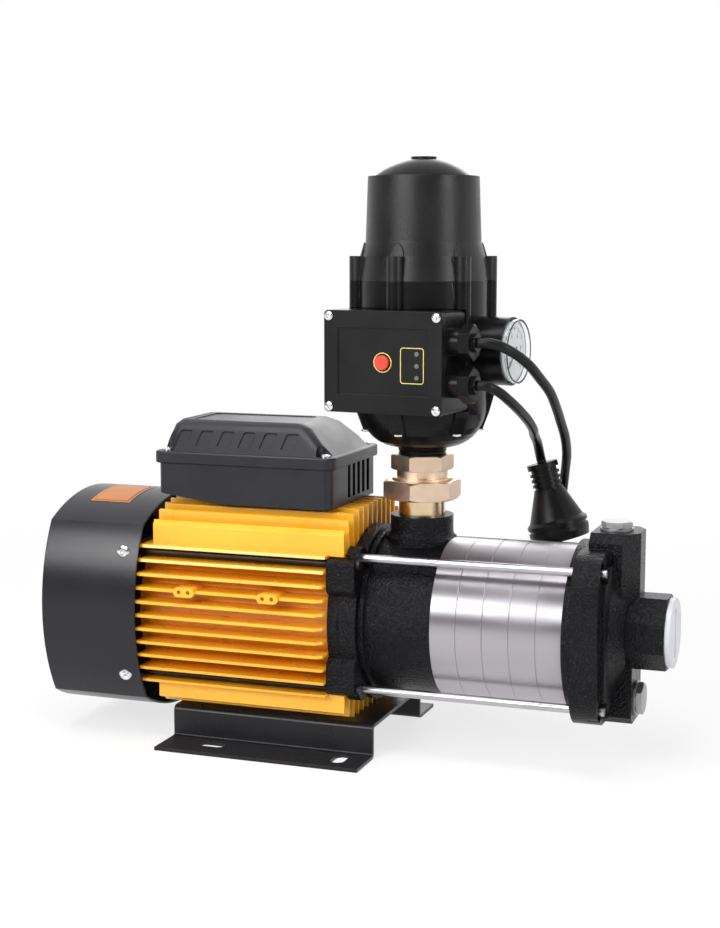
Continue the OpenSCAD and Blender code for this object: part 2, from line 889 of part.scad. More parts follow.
module motor_bracket() {
  color(cast_black)
    difference() {
      union() {
        shaft_disc(frame_front, bracket_front, bracket_r);
        shaft_disc(frame_front - spigot_length, frame_front,
          frame_bore_r - running_clearance);
        shaft_disc(front_bearing_rear, frame_front, front_bearing_r + bearing_hub_wall);
        sweep(frame_front, bracket_front)
          bracket_lugs();
        sweep(frame_front - bracket_back, bracket_front)
          difference() {
            union() {
              bracket_lugs();
              intersection() {
                circle(bracket_skirt_r);
                square([2 * bracket_lug_side, 2 * bracket_lug_low], center = true);
              }
            }
            circle(frame_r + seat_gap);
          }
        at_corners(tie_rod_offset, tie_rod_offset)
          side_rod(frame_front, bracket_front, 0, 0, rod_boss_r);
      }
      shaft_disc(front_bearing_rear - overrun, front_bearing_front,
        front_bearing_r + running_clearance);
      shaft_disc(front_bearing_rear, bracket_front + overrun,
        front_journal_r + shaft_hole_clearance);
      at_corners(through_bolt_y, through_bolt_z)
        side_rod(frame_front - bracket_back - overrun, bracket_front + overrun, 0, 0,
          through_bolt_r + pass_clearance, small_fn);
      at_corners(tie_rod_offset, tie_rod_offset)
        side_rod(frame_front - overrun, bracket_front + overrun, 0, 0,
          tie_rod_r + running_clearance, small_fn);
      for (s = [-1, 1])
        translate([0, s * (bracket_skirt_r - leaf_depth), shaft_height])
          rotate([-s * 90, 0, 0])
            linear_extrude(2 * leaf_depth)
              intersection() {
                translate([leaf_arc_r - leaf_width / 2, 0])
                  circle(leaf_arc_r);
                translate([leaf_width / 2 - leaf_arc_r, 0])
                  circle(leaf_arc_r);
                square(2 * bracket_lug_low, center = true);
              }
    }
}

// Discharge casing
casing_flange = 4;
casing_flange_lip = 3.5;
boss_fillet = 5;
boss_thread = 15;
boss_thread_depth = 1.5;
seal_seat_r = 15;
seal_cup_wall = 4;
seal_cup_depth = 5;
o_ring_r = 1.2;
o_ring_inset = 2;
o_ring_middle_r = shell_r - shell_wall - o_ring_inset;

module o_ring_groove(x0, x1) {
  half = o_ring_r + running_clearance;
  shaft_tube(x0, x1, o_ring_middle_r + half, o_ring_middle_r - half);
}

module discharge_casing() {
  color(cast_black)
    difference() {
      union() {
        difference() {
          union() {
            shaft_disc(bracket_front, bracket_front + casing_flange,
              shell_r + casing_flange_lip);
            shaft_disc(bracket_front, shells_rear, shell_r);
            translate([boss_x, 0, shaft_height])
              cylinder(h = boss_reach, r = boss_r);
            translate([boss_x, 0, shaft_height + shell_r - boss_fillet])
              rotate_extrude()
                difference() {
                  square([boss_r + boss_fillet / 2, 2 * boss_fillet]);
                  translate([boss_r + boss_fillet, 2 * boss_fillet])
                    circle(boss_fillet);
                }
          }
          shaft_disc(seal_start, shells_rear + overrun, shell_r - cast_wall);
          shaft_disc(shells_rear, shells_rear + 2 * boss_fillet, shell_r + 2 * boss_fillet);
        }
        shaft_disc(bracket_front, seal_start + seal_cup_depth, seal_seat_r + seal_cup_wall);
      }
      shaft_disc(seal_start, shells_rear, seal_seat_r + running_clearance);
      shaft_disc(bracket_front - overrun, shells_rear, front_journal_r + shaft_hole_clearance);
      translate([boss_x, 0, shaft_height + shell_r - 2 * cast_wall])
        cylinder(h = boss_reach, r = pipe_r - boss_thread_depth);
      translate([boss_x, 0, boss_top - boss_thread])
        cylinder(h = boss_thread + overrun, r = pipe_r + running_clearance);
      o_ring_groove(shells_rear - 2 * o_ring_r - running_clearance, shells_rear + overrun);
    }
}

module casing_o_rings() {
  color(rubber_black)
    for (x = [shells_rear - o_ring_r, shells_front + o_ring_r])
      along_shaft(x)
        rotate_extrude()
          translate([o_ring_middle_r, 0])
            circle(o_ring_r, $fn = small_fn);
}

// Mechanical seal: a fixed seat and a turning ring with its spring housing
seal_seat_length = 7;
seal_ring_length = 5;
seal_spring_length = 10;
seal_ring_r = 13.5;
seal_spring_r = 12;

module seal_seat() {
  color(ceramic)
    shaft_tube(seal_start, seal_start + seal_seat_length, seal_seat_r,
      pump_shaft_r + shaft_hole_clearance);
}

module seal_ring() {
  face = seal_start + seal_seat_length + running_clearance;
  color(rubber_black) {
    shaft_tube(face, face + seal_ring_length, seal_ring_r, pump_shaft_r);
    shaft_tube(face + seal_ring_length, face + seal_ring_length + seal_spring_length,
      seal_spring_r, pump_shaft_r);
  }
}

// One stage: shell, fixed diffuser and turning impeller
hub_wall = 4;
hub_r = pump_shaft_r + hub_wall;
eye_r = 19;
eye_wall = 2;
eye_clearance = 0.4;
stage_wall = 1.5;
shroud = 1.6;
return_vane_width = 2.2;
impeller_gap = 0.7;
impeller_vane_width = 4.2;
impeller_start = 2 * stage_wall + return_vane_width + impeller_gap;
eye_neck = stage_pitch + stage_wall / 2 - impeller_start - 2 * shroud - impeller_vane_width;
vane_thickness = 1.8;
vane_bend_share = 0.7;
diffuser_rim = 2.4;
diffuser_lip = 3;
diffuser_vanes = 8;
diffuser_r = shell_r - shell_wall - seat_gap;

function stage_start(i) = shells_rear + i * stage_pitch;

module stage_shell(i) {
  color(steel)
    along_shaft(stage_start(i))
      rotate_extrude()
        polygon([
          [shell_r - shell_wall, 0], [shell_r - shell_bevel, 0], [shell_r, shell_bevel],
          [shell_r, stage_pitch - shell_bevel], [shell_r - shell_bevel, stage_pitch],
          [shell_r - shell_wall, stage_pitch],
        ]);
}

module stage_shell_1() {
  stage_shell(0);
}

module stage_shell_2() {
  stage_shell(1);
}

module stage_shell_3() {
  stage_shell(2);
}

module stage_shell_4() {
  stage_shell(3);
}

module stage_shell_5() {
  stage_shell(4);
}

// One curved vane between two radii, bent about a centre off to one side
module vane_outline(inner, outer, sense) {
  bend_r = outer * vane_bend_share;
  intersection() {
    difference() {
      circle(outer);
      circle(inner);
    }
    translate([0, sense * bend_r])
      difference() {
        circle(bend_r + vane_thickness / 2);
        circle(bend_r - vane_thickness / 2);
      }
    translate([0, -outer])
      square([outer, 2 * outer]);
  }
}

module diffuser(i) {
  x = stage_start(i) + running_clearance;
  plate_r = impeller_r + diffuser_lip;
  plate_x = x + stage_wall + return_vane_width;
  difference() {
    union() {
      shaft_disc(x, x + stage_wall, diffuser_r);
      shaft_disc(plate_x, plate_x + stage_wall, plate_r);
      shaft_tube(x, stage_start(i + 1) - seat_gap, diffuser_r, diffuser_r - diffuser_rim);
      along_shaft(x + stage_wall)
        linear_extrude(return_vane_width)
          for (v = [1:diffuser_vanes])
            rotate(v * 360 / diffuser_vanes)
              vane_outline(eye_r + vane_thickness, impeller_r, -1);
    }
    shaft_disc(x - overrun, x + stage_wall, eye_r + eye_clearance);
    shaft_disc(x, x + stage_pitch, hub_r + shaft_hole_clearance);
  }
}

module diffusers() {
  $fn = small_fn;
  color(steel)
    for (i = [0:stages - 1])
      diffuser(i);
}

module impeller(i) {
  x = stage_start(i) + impeller_start;
  front = x + shroud + impeller_vane_width;
  shaft_disc(x, x + shroud, impeller_r);
  shaft_tube(front, front + shroud, impeller_r, eye_r - eye_wall);
  shaft_tube(front, front + shroud + eye_neck, eye_r, eye_r - eye_wall);
  along_shaft(x + shroud)
    linear_extrude(impeller_vane_width)
      for (v = [1:impeller_vanes])
        rotate(v * 360 / impeller_vanes)
          vane_outline(hub_r - vane_thickness, impeller_r - vane_thickness, 1);
}

module impellers() {
  color(steel)
    difference() {
      union() {
        shaft_disc(shells_rear, shells_front, hub_r);
        for (i = [0:stages - 1])
          impeller(i);
      }
      shaft_disc(shells_rear - overrun, shells_front + overrun, pump_shaft_r);
    }
}

// Nut that holds the impellers on the shaft
impeller_nut_flats = 19;
impeller_nut_height = 8;
nut_bevel = 0.8;

module impeller_nut() {
  color(steel)
    difference() {
      along_shaft(shells_front + running_clearance)
        flats_prism(impeller_nut_flats, impeller_nut_height, 6, nut_bevel);
      shaft_disc(shells_front - overrun, shaft_front, pump_shaft_r);
    }
}

// Suction cover
cover_lean = 2;
cover_step = 9;
cover_step_depth = 3.5;
cover_rim = 6;
cavity_r = 48;
cavity_depth = 18.5;
hub_base_r = 44;
hub_tip_r = 29;
hub_length = 8.5;
chamber_rear_gap = 10;
chamber_length = 15;
chamber_nose = 18;
chamber_taper = 10;
chamber_rear = shells_front + chamber_rear_gap;
chamber_front = cover_front + chamber_length;
chamber_chamfer = 6;
chamber_neck = 26;
gusset_lip = 1;
gusset_reach = 8;
gusset_top = 44;
gusset_low = 8;
rib_low_width = 28;
drain_boss_width = 34;
drain_boss_length = 12;
drain_boss_lip = 2.5;
drain_front = cover_front + drain_boss_length;
drain_boss_low = cover_reach + drain_boss_lip;
drain_chamfer = 5;
nut_pocket_r = 7;
nut_pocket_depth = 11;
plug_thread_r = 6.5;
plug_setback = 24.5;
plug_x = shells_front + plug_setback;

module chamber_outline() {
  for (m = [0, 1])
    mirror([m, 0])
      polygon([
        [0, 0], [rib_low_width / 2, 0], [chamber_width / 2, chamber_neck],
        [chamber_width / 2, chamber_reach - chamber_chamfer],
        [chamber_width / 2 - chamber_chamfer, chamber_reach], [0, chamber_reach],
      ]);
}

// Plan of the priming chamber, drawn in towards its front
module chamber_plan() {
  for (m = [0, 1])
    mirror([0, m])
      polygon([
        [chamber_rear, 0], [chamber_rear, chamber_width / 2],
        [chamber_front - chamber_taper, chamber_width / 2],
        [chamber_front, chamber_nose / 2], [chamber_front, 0],
      ]);
}

// Web that stiffens the chamber down to the hub
module gusset() {
  translate([cover_front - overrun, 0, shaft_height])
    rotate([90, 0, 0])
      linear_extrude(chamber_width + 2 * gusset_lip, center = true)
        polygon([
          [0, gusset_top], [gusset_lip + overrun, gusset_top], [gusset_reach, gusset_low],
          [0, gusset_low],
        ]);
}

module drain_outline() {
  for (m = [0, 1])
    mirror([m, 0])
      polygon([
        [0, 0], [drain_boss_width / 2, 0], [drain_boss_width / 2, drain_chamfer - drain_boss_low],
        [drain_boss_width / 2 - drain_chamfer, -drain_boss_low], [0, -drain_boss_low],
      ]);
}

module cover_plate(inset) {
  round_rectangle(2 * (cover_reach - inset), 2 * (cover_reach - inset - cover_lean),
    cover_corner_r - inset);
}

module front_cover() {
  color(cast_black)
    difference() {
      union() {
        shaft_disc(shells_front, cover_front - cover_step_depth, cover_reach);
        sweep(shells_front + cover_rim, cover_front - cover_step_depth)
          cover_plate(0);
        sweep(cover_front - 2 * cover_step_depth, cover_front)
          cover_plate(cover_step);
        along_shaft(cover_front)
          cylinder(h = hub_length, r1 = hub_base_r, r2 = hub_tip_r);
        along_shaft(cover_front)
          rotate(22.5)
            flats_prism(port_flats, port_end - cover_front, 8, nut_bevel);
        intersection() {
          sweep(chamber_rear, chamber_front)
            chamber_outline();
          linear_extrude(shaft_height + chamber_reach + overrun)
            chamber_plan();
        }
        gusset();
        sweep(chamber_rear, drain_front)
          drain_outline();
      }
      shaft_disc(shells_front - overrun, shells_front + cavity_depth, cavity_r);
      shaft_disc(shells_front, port_end + overrun, port_bore_r);
      translate([plug_x, 0, shaft_height])
        cylinder(h = chamber_reach + overrun, r = plug_thread_r + running_clearance);
      side_rod(shells_front + cavity_depth - overrun, drain_front + overrun, 0, -drain_drop,
        plug_thread_r + running_clearance);
      at_corners(tie_rod_offset, tie_rod_offset) {
        side_rod(shells_front - overrun, cover_front + overrun, 0, 0,
          tie_rod_r + pass_clearance, small_fn);
        side_rod(cover_front - nut_pocket_depth, cover_front + overrun, 0, 0,
          nut_pocket_r, small_fn);
      }
      o_ring_groove(shells_front - overrun, shells_front + 2 * o_ring_r + running_clearance);
    }
}

rod_nut_flats = 10;
rod_nut_height = 5;

module tie_rods() {
  color(steel)
    at_corners(tie_rod_offset, tie_rod_offset)
      side_rod(frame_front + seat_gap, cover_front - seat_gap, 0, 0, tie_rod_r, small_fn);
}

module tie_rod_nuts() {
  nut_rear = cover_front - nut_pocket_depth;
  color(steel)
    at_corners(tie_rod_offset, tie_rod_offset)
      difference() {
        along_shaft(nut_rear)
          flats_prism(rod_nut_flats, rod_nut_height, 6, nut_bevel / 2);
        side_rod(nut_rear - overrun, cover_front, 0, 0,
          tie_rod_r + running_clearance, small_fn);
      }
}

// Plugs with a sealing collar and a bevelled hexagonal head
plug_collar = 1.5;
plug_thread = 9;
priming_flats = 19;
priming_head = 4.5;
priming_collar_r = 11.5;
drain_flats = 20;
drain_head = 4.5;
drain_collar_r = 12.2;

module hex_plug(flats, head, collar_r) {
  translate([0, 0, -plug_thread])
    cylinder(h = plug_thread, r = plug_thread_r);
  cylinder(h = plug_collar, r = collar_r);
  translate([0, 0, plug_collar])
    flats_prism(flats, head, 6, nut_bevel);
}

module priming_plug() {
  color(steel)
    translate([plug_x, 0, shaft_height + chamber_reach])
      hex_plug(priming_flats, priming_head, priming_collar_r);
}

module drain_plug() {
  color(steel)
    translate([drain_front, 0, shaft_height - drain_drop])
      rotate([0, 90, 0])
        hex_plug(drain_flats, drain_head, drain_collar_r);
}

// Transport cap of the suction port
cap_flange = 3.8;
cap_flange_r = 24.2;
cap_depth = 9;
cap_slot_width = 3.2;
cap_slot_length = 34;
cap_slot_depth = 1.8;

module suction_cap() {
  color(white_plastic)
    along_shaft(port_end)
      difference() {
        union() {
          cylinder(h = cap_flange, r = cap_flange_r);
          translate([0, 0, -cap_depth])
            cylinder(h = cap_depth, r = port_bore_r - running_clearance);
        }
        translate([-cap_slot_length / 2, -cap_slot_width / 2, cap_flange - cap_slot_depth])
          cube([cap_slot_length, cap_slot_width, cap_slot_depth + overrun]);
      }
}

// Union between pump and controller
tail_visible = 11.5;
union_neck_height = 7.3;
union_flange_height = 4;
union_neck_r = 18.2;
union_lip_r = 21;
union_lip_height = 1.8;
union_nut_bore_r = 21.8;
union_shoulder = 4;
pipe_wall = 4;
tail_bottom = boss_top - boss_thread + seat_gap;
union_nut_bottom = boss_top + tail_visible;
union_nut_top = union_nut_bottom + union_nut_height;
collar_bottom = union_nut_top + union_neck_height;
collar_top = collar_bottom + union_collar_height;
collar_thread = 9;
neck_visible = 6;
neck_bottom = collar_top - collar_thread;
body_bottom = collar_top + neck_visible;
union_flange_bottom = union_nut_bottom + union_shoulder;
union_flange_top = union_flange_bottom + union_flange_height;

module at_union(z) {
  translate([boss_x, 0, z])
    children();
}

module union_tail() {
  color(brass)
    difference() {
      union() {
        at_union(tail_bottom)
          cylinder(h = union_flange_bottom - tail_bottom, r = pipe_r);
        at_union(union_flange_bottom)
          cylinder(h = union_flange_height, r = union_nut_bore_r - running_clearance);
      }
      at_union(tail_bottom - overrun)
        cylinder(h = union_flange_top - tail_bottom + 2 * overrun, r = pipe_r - pipe_wall);
    }
}

module union_nut() {
  color(brass)
    difference() {
      at_union(union_nut_bottom)
        rotate(30)
          flats_prism(union_nut_flats, union_nut_height, 6, 2 * nut_bevel);
      at_union(union_nut_bottom - overrun)
        cylinder(h = union_nut_height, r = pipe_r + running_clearance);
      at_union(union_flange_bottom)
        cylinder(h = union_nut_height, r = union_nut_bore_r);
    }
}

module union_collar() {
  color(brass)
    difference() {
      union() {
        at_union(union_flange_top)
          cylinder(h = collar_bottom - union_flange_top, r = union_neck_r);
        at_union(union_flange_top)
          cylinder(h = union_nut_top + union_lip_height - union_flange_top, r = union_lip_r);
        at_union(collar_bottom)
          rotate(24)
            flats_prism(union_collar_flats, union_collar_height, 6, nut_bevel);
      }
      at_union(union_flange_top - overrun)
        cylinder(h = collar_top - union_flange_top, r = pipe_r - pipe_wall);
      at_union(neck_bottom - seat_gap)
        cylinder(h = collar_top - neck_bottom + seat_gap + overrun,
          r = pipe_r + running_clearance);
    }
}

// Controller
parting = body_bottom + body_height;
bell_rim = parting + bell_height;
bowl_height = 30;
neck_flare = 1.8;
neck_flare_height = 3;
column_low = 12;
column_top = 17;
column_foot_r = 42.5;
column_bend_r = 47;
column_bend = 12;
column_straight = 33;
column_nose = 9.2;
column_nose_inset = 0.5;
column_nose_lift = 1;
column_nose_steps = 5;
column_screw_r = 1.5;
column_screw_circle_r = 40.2;
column_screw_depth = 5.5;
column_screw_head_r = 3.4;
column_screw_head = 1.8;
outlet_drop = 48;
outlet_z = parting - outlet_drop;
outlet_reach = 70;
outlet_thread = 16;
outlet_boss_r = 21.6;
panel_drop = 88.5;
panel_middle = parting - panel_drop + panel_height / 2;
panel_back = 20;
gauge_wall = 1.6;
gauge_depth = 19;
gauge_pipe_r = 4;
lens_standout = 5;
lens_depth = 8;
lens_thickness = 1.2;
diaphragm_thickness = 2;
diaphragm_clamp = 8;
diaphragm_drop = 12;
valve_stem_r = 5;
valve_disc_r = 16;
valve_disc = 4;
valve_height = 28;
flow_port_r = pipe_r - pipe_wall;

// Places a part in the controller's own turned frame, at a height
module at_controller(z = 0) {
  translate([boss_x, 0, z])
    rotate(-controller_turn)
      children();
}

// Places parts at the six screw columns, local X pointing outwards
module at_columns() {
  for (a = [0:60:300])
    rotate(a - 90)
      children();
}

// Points of the bowl's quarter arc from the neck out to the body's side
function bowl_arc(r, height, z0, neck) =
  [for (a = [0:10:90]) [neck + (r - neck) * sin(a), z0 + height * (1 - cos(a))]];

// Column of a screw, half sunk into the body's side
module column(z0, z1) {
  translate([column_circle_r, 0, z0])
    cylinder(h = z1 - z0, r = column_r, $fn = small_fn);
  translate([body_r - 2 * column_r, -column_r, z0])
    cube([column_circle_r - body_r + 2 * column_r, 2 * column_r, z1 - z0]);
}

// Space that the columns keep to: they draw in with the bowl at their feet
module column_envelope() {
  foot = body_bottom + column_low;
  reach = column_circle_r + column_r + overrun;
  rotate_extrude()
    polygon([
      [0, foot], [column_foot_r, foot], [column_bend_r, foot + column_bend],
      [reach, foot + column_straight], [reach, parting], [0, parting],
    ]);
}

// Space inside the controller's lower body, with a flat wall at the front
module flow_chamber() {
  inner = body_r - body_wall;
  clamp_r = inner - diaphragm_clamp;
  ledge = parting - diaphragm_drop - body_wall;
  difference() {
    rotate_extrude()
      polygon(concat(
        [
          [0, neck_bottom - overrun], [flow_port_r, neck_bottom - overrun],
          [flow_port_r, body_bottom + body_wall],
        ],
        bowl_arc(inner, bowl_height - body_wall, body_bottom + body_wall, flow_port_r),
        [
          [inner, ledge], [clamp_r, ledge], [clamp_r, parting + overrun], [0, parting + overrun],
        ]
      ));
    translate([-body_r, body_wall - body_r - panel_back, parting - panel_drop - body_wall])
      cube([2 * body_r, body_r, panel_height + 2 * body_wall]);
  }
}

module controller_body() {
  color(plastic_black)
    at_controller()
      difference() {
        union() {
          rotate_extrude()
            polygon(concat(
              [
                [0, neck_bottom], [pipe_r, neck_bottom], [pipe_r, body_bottom - neck_flare_height],
              ],
              bowl_arc(body_r, bowl_height, body_bottom, pipe_r + neck_flare),
              [[body_r, parting], [0, parting]]
            ));
          intersection() {
            at_columns()
              column(body_bottom + column_low, parting);
            column_envelope();
          }
          translate([0, 0, outlet_z]) {
            rotate([0, 90, 0])
              cylinder(h = gauge_reach - lens_standout, r = gauge_r);
            rotate([-90, 0, 0])
              cylinder(h = outlet_reach - outlet_thread, r = outlet_boss_r);
            rotate([-90, 0, 0])
              cylinder(h = outlet_reach, r = pipe_r);
          }
        }
        flow_chamber();
        translate([0, 0, outlet_z]) {
          rotate([-90, 0, 0])
            cylinder(h = outlet_reach + overrun, r = flow_port_r);
          rotate([0, 90, 0])
            cylinder(h = gauge_reach, r = gauge_pipe_r);
          translate([gauge_reach - gauge_depth, 0, 0])
            rotate([0, 90, 0])
              cylinder(h = gauge_depth, r = gauge_r - gauge_wall + running_clearance);
        }
        translate([
          -panel_width / 2 - seat_gap,
          -panel_back - panel_reach,
          parting - panel_drop - seat_gap,
        ])
          cube([panel_width + 2 * seat_gap, panel_reach, panel_height + 2 * seat_gap]);
        at_columns()
          translate([column_screw_circle_r, 0, body_bottom + column_low - overrun])
            cylinder(h = column_screw_depth + seat_gap + overrun,
              r = column_screw_r + running_clearance, $fn = small_fn);
        at_columns()
          translate([column_screw_circle_r, 0, body_bottom])
            cylinder(h = column_low, r = column_screw_head_r + pass_clearance, $fn = small_fn);
      }
}

bell_flare = 2;
bell_waist = 1.6;
bell_waist_height = 10;

// Pointed arch above a column's top, seen from outside
module nose_arch() {
  half = column_r - column_nose_inset;
  sweep_r = (pow(half, 2) + pow(column_nose, 2)) / (2 * half);
  apex = asin(column_nose / sweep_r);
  side = [for (k = [0:column_nose_steps])
    let (a = k * apex / column_nose_steps)
    [half - sweep_r + sweep_r * cos(a), sweep_r * sin(a)]];
  polygon(concat(
    [[-half, -overrun], [half, -overrun]],
    side,
    [for (k = [column_nose_steps - 1:-1:0]) [-side[k][0], side[k][1]]]
  ));
}

module controller_bell() {
  shoulder = parting + column_top;
  inner_r = bell_rim_r - 2 * body_wall;
  color(plastic_black)
    at_controller()
      difference() {
        union() {
          rotate_extrude()
            polygon([
              [0, parting], [body_r, parting], [body_r - bell_flare, shoulder],
              [bell_rim_r + bell_waist, shoulder + bell_waist_height], [bell_rim_r, bell_rim],
              [0, bell_rim],
            ]);
          at_columns()
            column(parting, shoulder);
          intersection() {
            at_columns()
              translate([0, 0, shoulder])
                rotate([90, 0, 90])
                  linear_extrude(column_circle_r)
                    nose_arch();
            rotate_extrude()
              polygon([
                [0, shoulder - overrun],
                [body_r - bell_flare + column_nose_lift, shoulder - overrun],
                [body_r - bell_flare + column_nose_lift, shoulder],
                [bell_rim_r + bell_waist + column_nose_lift, shoulder + bell_waist_height],
                [0, shoulder + bell_waist_height],
              ]);
          }
        }
        rotate_extrude()
          polygon([
            [0, parting - overrun], [inner_r, parting - overrun],
            [inner_r - body_wall, bell_rim - 2 * body_wall], [0, bell_rim - 2 * body_wall],
          ]);
      }
}

cap_inset = 4.5;
cap_crown = 0.7;
cap_flat_r = 9;
cap_steps = 8;

module controller_cap() {
  cap_r = bell_rim_r - cap_inset;
  rise = cap_height - cap_crown;
  dome_r = (pow(cap_r, 2) + pow(rise, 2)) / (2 * rise);
  spread = asin(cap_r / dome_r);
  color(plastic_black)
    at_controller(bell_rim)
      rotate_extrude()
        polygon(concat(
          [[0, 0]],
          [for (k = [0:cap_steps])
            let (a = spread * (1 - k * (1 - asin(cap_flat_r / dome_r) / spread) / cap_steps))
            [dome_r * sin(a), rise - dome_r + dome_r * cos(a)]],
          [[cap_flat_r, cap_height], [0, cap_height]]
        ));
}

module controller_screws() {
  color(steel)
    at_controller(body_bottom + column_low - running_clearance)
      at_columns()
        translate([column_screw_circle_r, 0, 0]) {
          cylinder(h = column_screw_depth, r = column_screw_r, $fn = small_fn);
          translate([0, 0, -column_screw_head])
            cylinder(h = column_screw_head, r = column_screw_head_r, $fn = small_fn);
        }
}

// Control box on the controller's front
panel_corner_r = 3;
panel_screw_r = 1.75;
panel_screw_head_r = 3.2;
panel_screw_head = 1.6;
panel_screw_depth = 10;
panel_screw_inset = 3.8;
panel_post_r = 4.5;
panel_recess = 0.8;
panel_window_width = 67;
panel_window_height = 45;
lamp_r = 1.6;
lamp_x = 25.4;
lamp_drop = 1.6;
window_rise = 0.5;
lamp_pitch = 8;
lamp_standout = 0.5;
button_standout = 0.8;
gland_pitch = 28.3;
gland_setback = 15.5;
gland_boss_r = gland_setback - panel_cover - seat_gap;
gland_boss_length = 9;
gland_thread_r = 7;
gland_thread = 8;
gland_nut = 8;
gland_dome = 2.5;
gland_dome_r = 6.4;

// Places a part on the control box, with local Z pointing out of its front
module at_panel(reach) {
  at_controller(panel_middle)
    translate([0, -reach, 0])
      rotate([90, 0, 0])
        children();
}

module at_panel_screws() {
  for (sx = [-1, 1], sy = [-1, 1])
    translate([
      sx * (panel_width / 2 - panel_screw_inset),
      sy * (panel_height / 2 - panel_screw_inset),
      0,
    ])
      children();
}

module at_lamps() {
  for (k = [-1:1])
    translate([lamp_x, k * lamp_pitch - lamp_drop, 0])
      children();
}

// Places a part at both glands, local Z pointing out along the lead
module at_glands(a) {
  for (s = [-1, 1])
    at_controller(panel_middle + s * gland_pitch / 2)
      translate([a, gland_setback - panel_reach, 0])
        rotate([0, 90, 0])
          children();
}

module control_box() {
  depth = panel_reach - panel_cover - panel_back;
  color(plastic_black)
    difference() {
      union() {
        at_panel(panel_back)
          linear_extrude(depth)
            round_rectangle(panel_width, panel_height, panel_corner_r);
        at_glands(panel_width / 2 - body_wall)
          cylinder(h = gland_boss_length + body_wall, r = gland_boss_r);
      }
      difference() {
        at_panel(panel_back + body_wall)
          linear_extrude(depth)
            square([panel_width - 2 * body_wall, panel_height - 2 * body_wall], center = true);
        at_panel(panel_back)
          at_panel_screws()
            cylinder(h = depth, r = panel_post_r, $fn = small_fn);
      }
      at_panel(panel_back + depth - panel_screw_depth - seat_gap)
        at_panel_screws()
          cylinder(h = panel_screw_depth + seat_gap + overrun,
            r = panel_screw_r + running_clearance, $fn = small_fn);
      at_glands(panel_width / 2 - 2 * body_wall)
        cylinder(h = gland_boss_length + 3 * body_wall, r = gland_thread_r + running_clearance);
    }
}

module control_box_cover() {
  color(plastic_black)
    difference() {
      at_panel(panel_reach - panel_cover)
        linear_extrude(panel_cover)
          round_rectangle(panel_width, panel_height, panel_corner_r);
      at_panel(panel_reach - panel_recess)
        translate([0, window_rise, 0])
          linear_extrude(panel_recess + overrun)
            square([panel_window_width, panel_window_height], center = true);
      at_panel(panel_reach - panel_cover - overrun) {
        cylinder(h = panel_cover + 2 * overrun, r = button_r + seat_gap);
        at_lamps()
          cylinder(h = panel_cover + 2 * overrun, r = lamp_r + running_clearance,
            $fn = small_fn);
        at_panel_screws()
          cylinder(h = panel_cover + 2 * overrun, r = panel_screw_r + pass_clearance,
            $fn = small_fn);
      }
    }
}

module control_box_screws() {
  color(steel)
    at_panel(panel_reach - panel_cover - panel_screw_depth)
      at_panel_screws() {
        cylinder(h = panel_screw_depth + panel_cover, r = panel_screw_r, $fn = small_fn);
        translate([0, 0, panel_screw_depth + panel_cover])
          cylinder(h = panel_screw_head, r = panel_screw_head_r, $fn = small_fn);
      }
}

module reset_button() {
  color([0.85, 0.12, 0.1])
    at_panel(panel_reach - panel_cover)
      cylinder(h = panel_cover - panel_recess + button_travel + button_standout, r = button_r);
}

module indicator_lights() {
  color([0.35, 0.35, 0.37])
    at_panel(panel_reach - panel_cover)
      at_lamps()
        cylinder(h = panel_cover - panel_recess + lamp_standout, r = lamp_r, $fn = small_fn);
}

module cable_glands() {
  color(plastic_black)
    at_glands(panel_width / 2 + gland_boss_length) {
      translate([0, 0, -gland_thread])
        cylinder(h = gland_thread, r = gland_thread_r);
      flats_prism(gland_flats, gland_nut, 6, nut_bevel);
      translate([0, 0, gland_nut])
        cylinder(h = gland_dome, r = gland_dome_r);
    }
}

// Pressure gauge in the controller's side
dial_setback = 4.5;
dial_gap = 0.4;
needle_length = 15;
needle_tail = 4;
needle_width = 1;
needle_thickness = 0.6;
needle_hub_r = 2;
needle_hub = 1.2;

// Places a part on the gauge's axis, with local Z pointing out of its face
module at_gauge(reach) {
  at_controller(outlet_z)
    translate([reach, 0, 0])
      rotate([0, 90, 0])
        children();
}

module pressure_gauge() {
  body = gauge_depth - dial_setback;
  color(white_plastic)
    difference() {
      at_gauge(gauge_reach - gauge_depth)
        cylinder(h = body, r = gauge_r - gauge_wall - lens_thickness - seat_gap);
      at_gauge(gauge_reach - gauge_depth - overrun)
        cylinder(h = gauge_pipe_r + overrun, r = gauge_pipe_r);
    }
}

module gauge_needle() {
  color([0.1, 0.1, 0.1])
    at_gauge(gauge_reach - dial_setback + dial_gap) {
      rotate(-45)
        translate([-needle_tail, -needle_width / 2, 0])
          cube([needle_length + needle_tail, needle_width, needle_thickness]);
      cylinder(h = needle_hub, r = needle_hub_r, $fn = small_fn);
    }
}

module gauge_lens() {
  height = lens_standout + lens_depth;
  color([0.9, 0.93, 0.95, 0.35])
    difference() {
      at_gauge(gauge_reach - height)
        cylinder(h = height, r = gauge_r - gauge_wall);
      at_gauge(gauge_reach - height - overrun)
        cylinder(h = height + overrun - lens_thickness,
          r = gauge_r - gauge_wall - lens_thickness);
    }
}

// Flow valve that rests on the neck's inner rim, and the pressure diaphragm
module flow_valve() {
  color(ceramic)
    at_controller(body_bottom + body_wall + seat_gap) {
      cylinder(h = valve_disc, r = valve_disc_r);
      cylinder(h = valve_height, r = valve_stem_r);
    }
}

module diaphragm() {
  color(rubber_black)
    at_controller(parting - diaphragm_drop)
      cylinder(h = diaphragm_thickness,
        r = body_r - body_wall - diaphragm_clamp - running_clearance);
}

